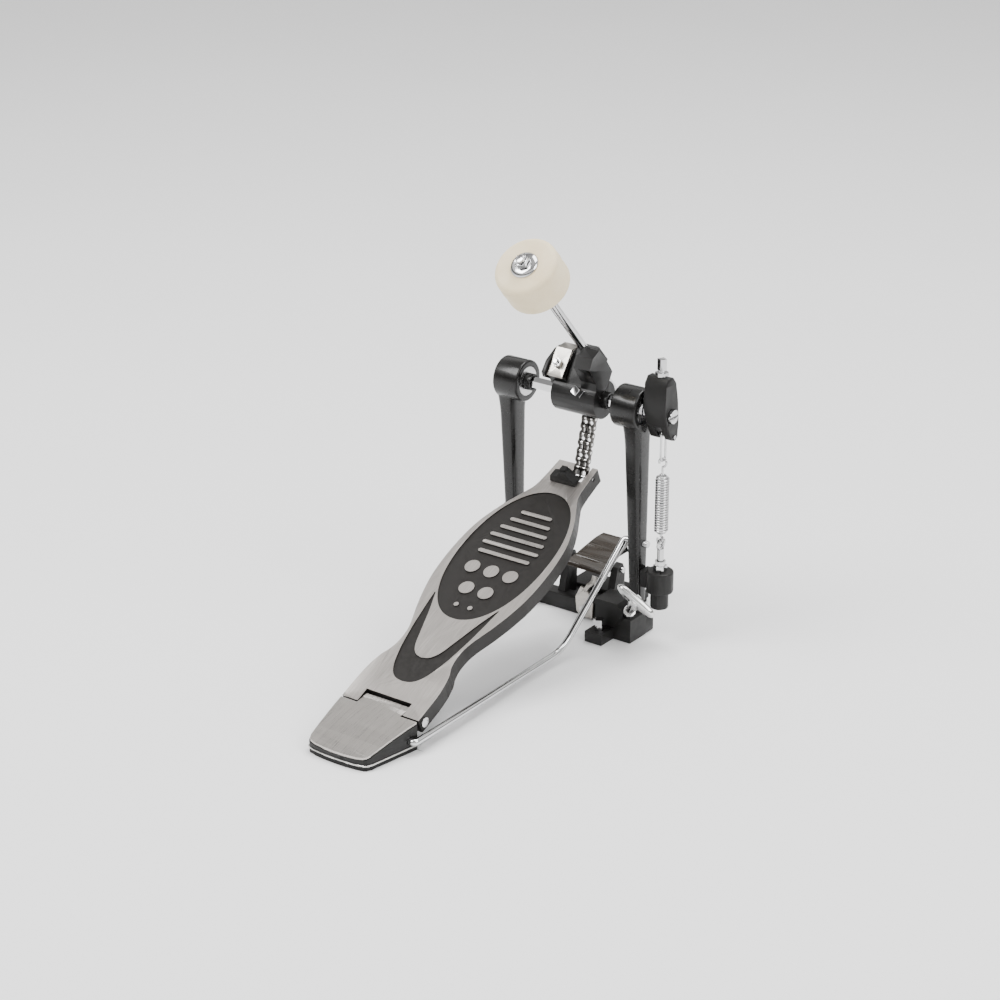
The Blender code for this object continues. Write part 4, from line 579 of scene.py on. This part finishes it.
def surround():
    """A bright room with darker bands, so that plated parts have something to mirror."""
    world = bpy.data.worlds.new("studio")
    bpy.context.scene.world = world
    world.use_nodes = True
    tree = world.node_tree
    background = tree.nodes["Background"]
    place = tree.nodes.new("ShaderNodeTexCoord").outputs["Generated"]
    split = tree.nodes.new("ShaderNodeSeparateXYZ")
    tree.links.new(place, split.inputs[0])
    ramp = tree.nodes.new("ShaderNodeValToRGB")
    stops = [(0.0, 1.0), (0.07, 0.8), (0.13, 0.12), (0.3, 0.1), (0.4, 0.9), (0.66, 1.0), (0.8, 0.25),
             (1.0, 0.7)]
    for position, value in stops[1:-1]:
        ramp.color_ramp.elements.new(position)
    for element, (position, value) in zip(ramp.color_ramp.elements, stops):
        element.position = position
        element.color = (value, value * 0.995, value * 0.985, 1)
    height = tree.nodes.new("ShaderNodeMath")
    height.operation = "ABSOLUTE"
    tree.links.new(split.outputs[2], height.inputs[0])
    tree.links.new(height.outputs[0], ramp.inputs[0])
    tree.links.new(ramp.outputs[0], background.inputs[0])
    background.inputs[1].default_value = 1.25


# ---------------------------------------------------------------- footboard

def on_board(x, along, up=0.0):
    return BOARD @ Vector((x, along, up))


def smoothed(points, parts=8):
    """Points on a smooth curve through the given ones."""
    result = []
    for index in range(len(points) - 1):
        p0 = Vector(points[max(index - 1, 0)])
        p1 = Vector(points[index])
        p2 = Vector(points[index + 1])
        p3 = Vector(points[min(index + 2, len(points) - 1)])
        for part in range(parts):
            t = part / parts
            result.append(tuple(0.5 * (2 * p1 + (p2 - p0) * t + (2 * p0 - 5 * p1 + 4 * p2 - p3) * t * t
                                       + (3 * p1 - p0 - 3 * p2 + p3) * t * t * t)))
    result.append(tuple(points[-1]))
    return result


def squared(angle, exponent):
    """A point of a superellipse of half size 1: an exponent of 1 is a circle, and less is squarer."""
    u = math.copysign(abs(math.cos(angle)) ** exponent, math.cos(angle))
    v = math.copysign(abs(math.sin(angle)) ** exponent, math.sin(angle))
    return u, v


def scaled(points):
    return [(u * MM, v * MM) for u, v in points]


def board_outline(inset=0.0, start=0.0, end=None):
    """(half width, along) points of the footboard's right edge, drawn in by an inset."""
    half = [(0, 33.6), (26, 33.2), (42, 30.6), (51, 27), (61, 25.4), (74, 26.6), (94, 33.6), (110, 38.2),
            (126, 41.4), (145, 42.8), (164, 42.4), (182, 40.2), (196, 36), (206, 32), (216, 27.2),
            (225, 22.6), (232, 19.6), (243, 18.2), (263, 17.2)]
    points = [(along * MM, width * MM - inset) for along, width in half]
    points = [(along, width) for along, width in points if start <= along <= (end or BOARD_LENGTH)]
    points[0] = (start, points[0][1])
    if end:
        points[-1] = (end, points[-1][1])
    return smoothed(points, 6)


def mirrored(half):
    right = [(width, along) for along, width in half]
    left = [(-width, along) for along, width in reversed(half)]
    return right + left


def oval(steps=150, power=2.1):
    outline = []
    for step in range(steps):
        u, v = squared(math.tau * step / steps, 2 / power)
        outline.append((OVAL_HALF_WIDTH * u, OVAL_MIDDLE + OVAL_HALF_LENGTH * v))
    return outline


def chevron():
    outer = smoothed(scaled([(28.8, 110.3), (26.4, 89.3), (23.7, 71), (19.9, 52.5), (14.3, 36.5), (7.8, 29),
                             (0, 27)]))
    inner = smoothed(scaled([(0, 51.2), (6.5, 53.5), (11.5, 60.5), (15.8, 74), (21.7, 93), (27.6, 109.3)]))
    outer = outer + [(-u, v) for u, v in outer[-2::-1]]
    inner = [(-u, v) for u, v in inner[::-1]] + inner[1:]
    return outer + inner


def stadium(start, end, radius, steps=16):
    """A straight bar with round ends."""
    along = (end - start).normalized()
    angle = math.atan2(along.y, along.x)
    outline = []
    for centre, first in ((end, angle - math.pi / 2), (start, angle + math.pi / 2)):
        for step in range(steps + 1):
            turn = first + math.pi * step / steps
            outline.append((centre.x + radius * math.cos(turn), centre.y + radius * math.sin(turn)))
    return outline


def raised_marks():
    """The raised silver marks in the oval: dots and plain grip ribs."""
    low = -RECESS_DEPTH - 0.5 * MM
    high = 0.5 * MM
    dots = [(x, 142.4, 5.9) for x in (-16.9, 0, 16.9)]
    dots += [(x, 122.1, 5.9) for x in (-8.5, 8.5)]
    dots += [(x, 105.2, 1.9) for x in (-6.1, 6.1)]
    marks = []
    for x, along, radius in dots:
        foot = on_board(x * MM, along * MM, low)
        marks.append(rod("dot", foot, on_board(x * MM, along * MM, high), radius * MM, 56))
    for half_length, along in ((21, 159), (23, 168), (22, 177), (19, 186), (16, 195), (12, 204)):
        start = Vector((-half_length, along)) * MM
        end = Vector((half_length, along)) * MM
        outline = stadium(start, end, 1.6 * MM)
        marks.append(flat("rib", outline, low, high, BOARD))
    return marks


def footboard():
    """The board with its underside pocket, its sunk panel and accent, and its hinge and chain cuts."""
    board = flat("footboard_plate", mirrored(board_outline()), -BOARD_DEPTH, 0, BOARD)
    pocket = flat("pocket", mirrored(board_outline(4 * MM, 22 * MM, 236 * MM)), -BOARD_DEPTH - 5 * MM,
                  -BOARD_SKIN, BOARD)
    foot = -10.5 * MM
    stiffeners = [block("stiffener", (-60 * MM, along * MM, foot), (60 * MM, (along + 2) * MM, 0), BOARD)
                  for along in (58, 94, 130, 166, 202)]
    stiffeners.append(block("spine", (-1 * MM, 0, foot), (1 * MM, BOARD_LENGTH, 0), BOARD))
    cut(pocket, *stiffeners)
    panel = flat("panel", oval(), -RECESS_DEPTH, 5 * MM, BOARD)
    cut(panel, *raised_marks())
    accent = flat("accent", chevron(), -RECESS_DEPTH, 5 * MM, BOARD)
    notch = block("notch", (-20 * MM, -9 * MM, -30 * MM), (20 * MM, 11.8 * MM, 9 * MM), BOARD)
    slot = block("slot", (ROD_X - 6.7 * MM, 246.6 * MM, -30 * MM),
                 (ROD_X + 6.7 * MM, 272 * MM, 9 * MM), BOARD)
    hinge = rod("hinge_bore", (-50 * MM, HINGE.y, HINGE.z), (50 * MM, HINGE.y, HINGE.z), 2.5 * MM, 32)
    anchor = rod("anchor_bore", (-4.7 * MM, ANCHOR.y, ANCHOR.z), (30 * MM, ANCHOR.y, ANCHOR.z),
                 1.5 * MM, 24)
    cut(board, pocket, panel, accent, notch, slot, hinge, anchor)
    piece(rounded(board, 0.3 * MM, 2), "board", "footboard", "footboard")
    piece(soften("toe_stop", 0.35 * MM, 3), "rubber", "footboard", "toe_stop")


# ---------------------------------------------------------------- chain

def link_plate(start, end, x, end_radius=2.55 * MM, waist=1.75 * MM):
    """One waisted plate between two pins, given as (Y, Z)."""
    along = (end - start).normalized()
    side = Vector((-along.y, along.x))
    length = (end - start).length
    outline = []
    for way, centre in ((1, end), (-1, start)):
        for step in range(13):
            turn = math.radians(-125 + 250 * step / 12)
            outline.append(centre + way * (along * math.cos(turn) + side * math.sin(turn)) * end_radius)
        middle = start + along * length / 2
        outline.append(middle + way * side * waist)
    plate = flat("plate", outline, x - LINK_PLATE / 2, x + LINK_PLATE / 2, SIDE)
    return rounded(plate, 0.18 * MM, 2, 50)


def chain():
    """Duplex roller chain: outer and inner links by turns; the hanging links share one body."""
    step = 2 * math.asin(PITCH / 2 / PITCH_R)
    foot = Vector((ANCHOR.y, ANCHOR.z))
    up = Vector((CHAIN_DIR.y, CHAIN_DIR.z))
    pins = [foot + up * (PITCH * i) for i in range(DROP_LINKS)]
    for i in range(5):
        angle = LEAVE_ANGLE + step * i
        pins.append(Vector((PITCH_R * math.cos(angle), AXLE_Z + PITCH_R * math.sin(angle))))
    owners = {"chain_drop": range(DROP_LINKS), "chain_link_1": [10], "chain_link_2": [11],
              "chain_link_3": [12], "chain_wrap": [13]}
    for node, links in owners.items():
        plates = []
        bright = []
        for link in links:
            start = pins[link]
            end = pins[link + 1]
            if link % 2 == 0:
                places = [-5.25, 0, 5.25]
                for pin in (start, end):
                    bar = rod("pin", (ROD_X - 5.95 * MM, pin.x, pin.y),
                              (ROD_X + 5.95 * MM, pin.x, pin.y), 1.15 * MM, 20)
                    bright.append(rounded(bar, 0.25 * MM))
            else:
                places = [-4.3, -1, 1, 4.3]
                for pin in (start, end):
                    for middle in (-2.65, 2.65):
                        bright.append(rod("roller", (ROD_X + (middle - 1.2) * MM, pin.x, pin.y),
                                          (ROD_X + (middle + 1.2) * MM, pin.x, pin.y), 1.7 * MM, 28))
            for x in places:
                plates.append(link_plate(start, end, ROD_X + x * MM))
        body = "axle" if node == "chain_wrap" else node
        piece(gather(node + "_plates", plates), "chain_plate", body, node)
        piece(gather(node + "_pins", bright), "chain_roller", body)


# ---------------------------------------------------------------- spring

def on_spring(x, z, y=0.0):
    return Vector((SPRING_EYE.x + x, SPRING_EYE.y + y, z))


def coil():
    """The closed-wound coil, which draws in to a hook at each end."""
    count = COIL_TURNS * 26
    points = []
    for index in range(count + 1):
        share = index / count
        turns_from_end = min(share, 1 - share) * COIL_TURNS
        radius = (0.5 + 4.0 * min(1, turns_from_end / 1.6)) * MM
        angle = math.tau * COIL_TURNS * share
        z = COIL_LOW + (COIL_HIGH - COIL_LOW) * share
        points.append(on_spring(radius * math.cos(angle), z, radius * math.sin(angle)))
    wire = tube("spring_coil_wire", points, SPRING_WIRE_R, 12)
    wire.data.transform(Matrix.Translation((0, LAYOUT_Y, 0)))
    wire.data.materials.append(LOOKS["chrome"].material)
    wire.data.shade_smooth()
    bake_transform(wire)
    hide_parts("spring_coil")


def hook(node, body, centre_z, way, end_z):
    """An open wire hook round a centre, with its tail running to the coil."""
    points = [on_spring(0, end_z)]
    for step in range(37):
        angle = math.radians(90 - 295 * step / 36)
        points.append(on_spring(HOOK_R * math.cos(angle), centre_z + way * HOOK_R * math.sin(angle)))
    piece(tube(node + "_wire", points, SPRING_WIRE_R, 16), "chrome", body, node, 80)


def spring():
    coil()
    hook("spring_lower_hook", "spring_lower", SPRING_EYE.z + HOOK_R, 1, COIL_LOW)
    hook("spring_upper_hook", "spring_upper", UPPER_HOOK_Z, -1, COIL_HIGH)
    pin_z = AXLE_Z - SPRING_PIN_DROP
    low_z = UPPER_HOOK_Z + HOOK_R + SPRING_LINK_HALF - 1.9 * MM
    line = stadium(Vector((SPRING_EYE.y, pin_z)), Vector((SPRING_EYE.y, low_z)), SPRING_LINK_HALF, 14)
    loop = [Vector((SPRING_EYE.x, y, z)) for y, z in line]
    piece(tube("spring_link_wire", loop, SPRING_WIRE_R, 16, True), "chrome", "spring_upper",
          "spring_link", 80)


# ---------------------------------------------------------------- beater

def on_beater(along, outward=0.0):
    return Vector((ROD_X, 0, AXLE_Z)) + ROD_DIR * along + ROD_OUT * (ROD_OFFSET + outward)


def felt():
    """The felt: a drum with round corners and a slightly uneven side."""
    profile = [(BEATER_BORE_R, 0), (BEATER_BORE_R, FELT_HEIGHT)]
    corner = 4.2 * MM
    for step in range(13):
        turn = math.radians(90 - 90 * step / 12)
        profile.append((FELT_R - corner + corner * math.cos(turn),
                        FELT_HEIGHT - corner + corner * math.sin(turn)))
    for step in range(1, 8):
        share = step / 8
        profile.append((FELT_R - 0.25 * MM * math.sin(math.pi * share) * math.cos(9 * share),
                        FELT_HEIGHT - corner - (FELT_HEIGHT - 2 * corner) * share))
    for step in range(13):
        turn = math.radians(-90 * step / 12)
        profile.append((FELT_R - corner + corner * math.cos(turn), corner + corner * math.sin(turn)))
    wool = turned("beater_felt_wool", profile, on_beater(FELT_LOW), on_beater(FELT_LOW + 1), 128)
    piece(wool, "felt", "beater", "beater_felt", 60)


def beater_fittings():
    """The thick rounded washer, the flat hex nut on it and the beater rod."""
    top = FELT_LOW + FELT_HEIGHT + 0.3 * MM
    dome = [(BEATER_BORE_R, 0), (BEATER_BORE_R, 2.4 * MM), (5 * MM, 2.6 * MM), (7.4 * MM, 2.35 * MM),
            (9.2 * MM, 1.7 * MM), (10.2 * MM, 0.9 * MM), (10.5 * MM, 0.35 * MM), (10.3 * MM, 0)]
    piece(turned("beater_washer_dome", dome, on_beater(top), on_beater(top + 1), 72), "chrome", "beater",
          "beater_washer")
    piece(soften("beater_nut", 0.35 * MM, 3), "chrome", "beater", "beater_nut")
    shaft = rod("beater_rod_bar", on_beater(-36 * MM), on_beater(144 * MM), BEATER_ROD_R, 56)
    piece(rounded(shaft, 0.7 * MM, 4), "chrome", "beater", "beater_rod")


# ---------------------------------------------------------------- posts

def post_ring(x, y, z, half_x, half_y, power=4.2, steps=40):
    """A rounded rectangular section of a post."""
    ring = []
    for step in range(steps):
        u, v = squared(math.tau * step / steps, 2 / power)
        ring.append(Vector((x + half_x * u, y + half_y * v, z)))
    return ring


def posts():
    """Each post: a shaft that widens upwards, its bearing barrel, and the pivot of its radius rod."""
    high = AXLE_Z - BARREL_R * 0.55
    for side, node in ((1, "right_post"), (-1, "left_post")):
        x = POST_X * side
        rings = []
        for step in range(31):
            share = step / 30
            z = BLOCK_TOP_Z + (high - BLOCK_TOP_Z) * share
            flare = max(0, (share - 0.86) / 0.14) ** 2 * 1.5 * MM
            half_x = (4.8 + 2.2 * share) * MM + flare
            half_y = (5 + 4.75 * share) * MM + flare
            rings.append(post_ring(x, 5.2 * MM * (1 - share), z, half_x, half_y))
        shaft = loft(node + "_cast", rings)
        inner = Vector((side * BARREL_IN_X, 0, AXLE_Z))
        outer = Vector((side * BARREL_OUT_X, 0, AXLE_Z))
        out = Vector((side, 0, 0))
        barrel = rod("barrel", inner, outer, BARREL_R, 96)
        join(shaft, rounded(barrel, 1.5 * MM, 4))
        bore = rod("bore", inner - out * MM, outer + out * MM, BEARING_BORE_R, 64)
        depth = out * BEARING_SEAT_DEPTH
        seats = [rod("seat", inner - out * MM, inner + depth, BEARING_SEAT_R, 72),
                 rod("seat", outer + out * MM, outer - depth, BEARING_SEAT_R, 72)]
        pivot = rod("pivot", (x - 12 * MM, ROD_PIVOT.y, ROD_PIVOT.z),
                    (x + 12 * MM, ROD_PIVOT.y, ROD_PIVOT.z), 2.8 * MM, 40)
        cut(shaft, bore, *seats, pivot)
        piece(shaft, "gloss_black", "frame", node, 40)


# ---------------------------------------------------------------- radius rods

def bend(corner, before, after, radius, steps=14):
    """Points on a smooth bend that starts and ends a radius away from the corner."""
    corner = Vector(corner)
    start = corner + (Vector(before) - corner).normalized() * radius
    end = corner + (Vector(after) - corner).normalized() * radius
    points = []
    for step in range(steps + 1):
        t = step / steps
        points.append(start * (1 - t) ** 2 + corner * 2 * t * (1 - t) + end * t ** 2)
    return points


def radius_rods():
    """The two bent rods from the heel to the posts, each turned in at both ends."""
    heel_y = BOARD_REAR.y - 8.5 * MM
    for side, node in ((1, "right_radius_rod"), (-1, "left_radius_rod")):
        corners = [Vector((side * 24 * MM, heel_y, HEEL_ROD_Z)),
                   Vector((side * 37.2 * MM, heel_y, HEEL_ROD_Z)),
                   Vector((side * 36.2 * MM, -65 * MM, HEEL_ROD_Z)),
                   Vector((side * 44.5 * MM, ROD_PIVOT.y, ROD_PIVOT.z)),
                   Vector((side * 65.5 * MM, ROD_PIVOT.y, ROD_PIVOT.z))]
        path = [corners[0]]
        for index, radius in ((1, 2.6 * MM), (2, 14 * MM), (3, 2.6 * MM)):
            path += bend(corners[index], corners[index - 1], corners[index + 1], radius)
        path.append(corners[-1])
        leg = tube(node + "_wire", path, RADIUS_ROD_R, 28)
        piece(rounded(leg, 0.4 * MM, 2, 60), "chrome", "heel", node, 50)


# ---------------------------------------------------------------- hoop clamp

def clamp_jaw():
    """The curved jaw plate: its level faces keep their curve and only its edges are rounded."""
    node = "hoop_clamp_jaw"
    body = frame["nodes"][node]["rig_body"]
    piece(soften(node, 0.4 * MM, 3, 60), "jaw_black", body, node, 50)


def wing_bolt():
    """A cast wing nut head, thick at its middle and round at both tips, on a plain collar and shaft."""
    root = joint_at("wing_bolt_turn")
    axis = Vector(JOINTS["wing_bolt_turn"]["axis"]).normalized()
    side = axis.cross(WING_LINE)
    middle = root + axis * WING_OUT
    rings = []
    for step in range(49):
        across = -math.cos(math.pi * step / 48)
        reach = abs(across)
        closing = math.sqrt(max(0.0, 1 - reach ** 7)) + 0.02
        top = (6.9 - 0.9 * reach ** 2) * closing
        low = (-6.3 + 5.2 * reach ** 2) * closing + 1.2 * reach * (1 - closing)
        thick = (3.2 - 0.7 * reach) * closing
        centre = middle + WING_LINE * WING_HALF * across + axis * ((top + low) / 2 * MM)
        ring = []
        for corner in range(28):
            u, v = squared(math.tau * corner / 28, 0.62)
            ring.append(centre + axis * ((top - low) / 2 * MM * u) + side * (thick * MM * v))
        rings.append(ring)
    wings = loft("wing_bolt_head", rings)
    body = rod("body", middle - axis * 7 * MM, middle + axis * 4.6 * MM, 5 * MM, 56, 4.2 * MM)
    shaft = rod("shaft", root - axis * 18 * MM, middle - axis * 4 * MM, 3.5 * MM, 48)
    collar = rod("collar", root + axis * 3.2 * MM, root + axis * 8 * MM, 4.6 * MM, 56)
    join(wings, rounded(body, 0.8 * MM, 4), shaft, rounded(collar, 0.6 * MM, 3))
    piece(wings, "bright_chrome", "wing_bolt", "wing_bolt", 50)


# ---------------------------------------------------------------- everything with rounded edges

# node, look, edge radius in millimetres and segments of its rounding
FINE = [
    ("base_casting", "cast_black", 0.25, 2), ("base_grip", "rubber", 0.4, 2),
    ("lower_jaw_pad", "rubber", 0.2, 2), ("upper_jaw_pad", "rubber", 0.3, 2),
    ("clamp_lever", "sheet", 0.4, 3), ("lever_rivet", "steel", 0.5, 3),
    ("jaw_pivot_pin", "chrome", 0.4, 2), ("spring_boss", "cast_black", 0.3, 2),
    ("tension_knob", "cast_black", 0.3, 2), ("eye_bolt", "chrome", 0.15, 2),
    ("lock_nut", "chrome", 0.35, 3), ("spring_rocker", "cast_black", 0.55, 3),
    ("spring_pin", "steel", 0.3, 2), ("rocker_key_screw", "chrome", 0.3, 3),
    ("hub_key_screw", "chrome", 0.3, 3), ("rod_clamp_screw", "chrome", 0.25, 2),
    ("rod_clamp_plate", "sheet", 0.35, 3), ("beater_holder", "hub_black", 0.55, 3),
    ("axle_end_screw", "chrome", 0.35, 3), ("left_collar", "gloss_black", 0.4, 3),
    ("right_collar", "gloss_black", 0.4, 3), ("beater_collar", "steel", 0.3, 2),
    ("hinge_pin", "chrome", 0.35, 3), ("heel_cover", "heel_sheet", 0.35, 3),
    ("heel_block", "cast_black", 0.5, 3), ("heel_base_plate", "edge_sheet", 0.2, 2),
    ("heel_rubber_pad", "rubber", 0.5, 3), ("right_floor_spike", "chrome", 0.2, 2),
    ("left_floor_spike", "chrome", 0.2, 2), ("left_inner_bearing", "steel", 0.25, 2),
    ("left_outer_bearing", "steel", 0.25, 2), ("right_inner_bearing", "steel", 0.25, 2),
    ("right_outer_bearing", "steel", 0.25, 2),
]


def fine_pieces():
    """The CAD nodes that keep their shape, with rounded edges and a detailed look."""
    for node, look, width, segments in FINE:
        piece(soften(node, width * MM, segments), look, frame["nodes"][node]["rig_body"], node)


footboard()
chain()
spring()
felt()
beater_fittings()
posts()
radius_rods()
clamp_jaw()
wing_bolt()
fine_pieces()

# CAD nodes that stay as they are and only take a look
KEPT = {"axle": "chrome", "chain_anchor_pin": "steel"}
for node, look in KEPT.items():
    kept = frame["nodes"][node]
    kept.data.materials.clear()
    kept.data.materials.append(LOOKS[look].material)
    kept.data.shade_smooth()
    kept.data.set_sharp_from_angle(angle=math.radians(40))

stage()
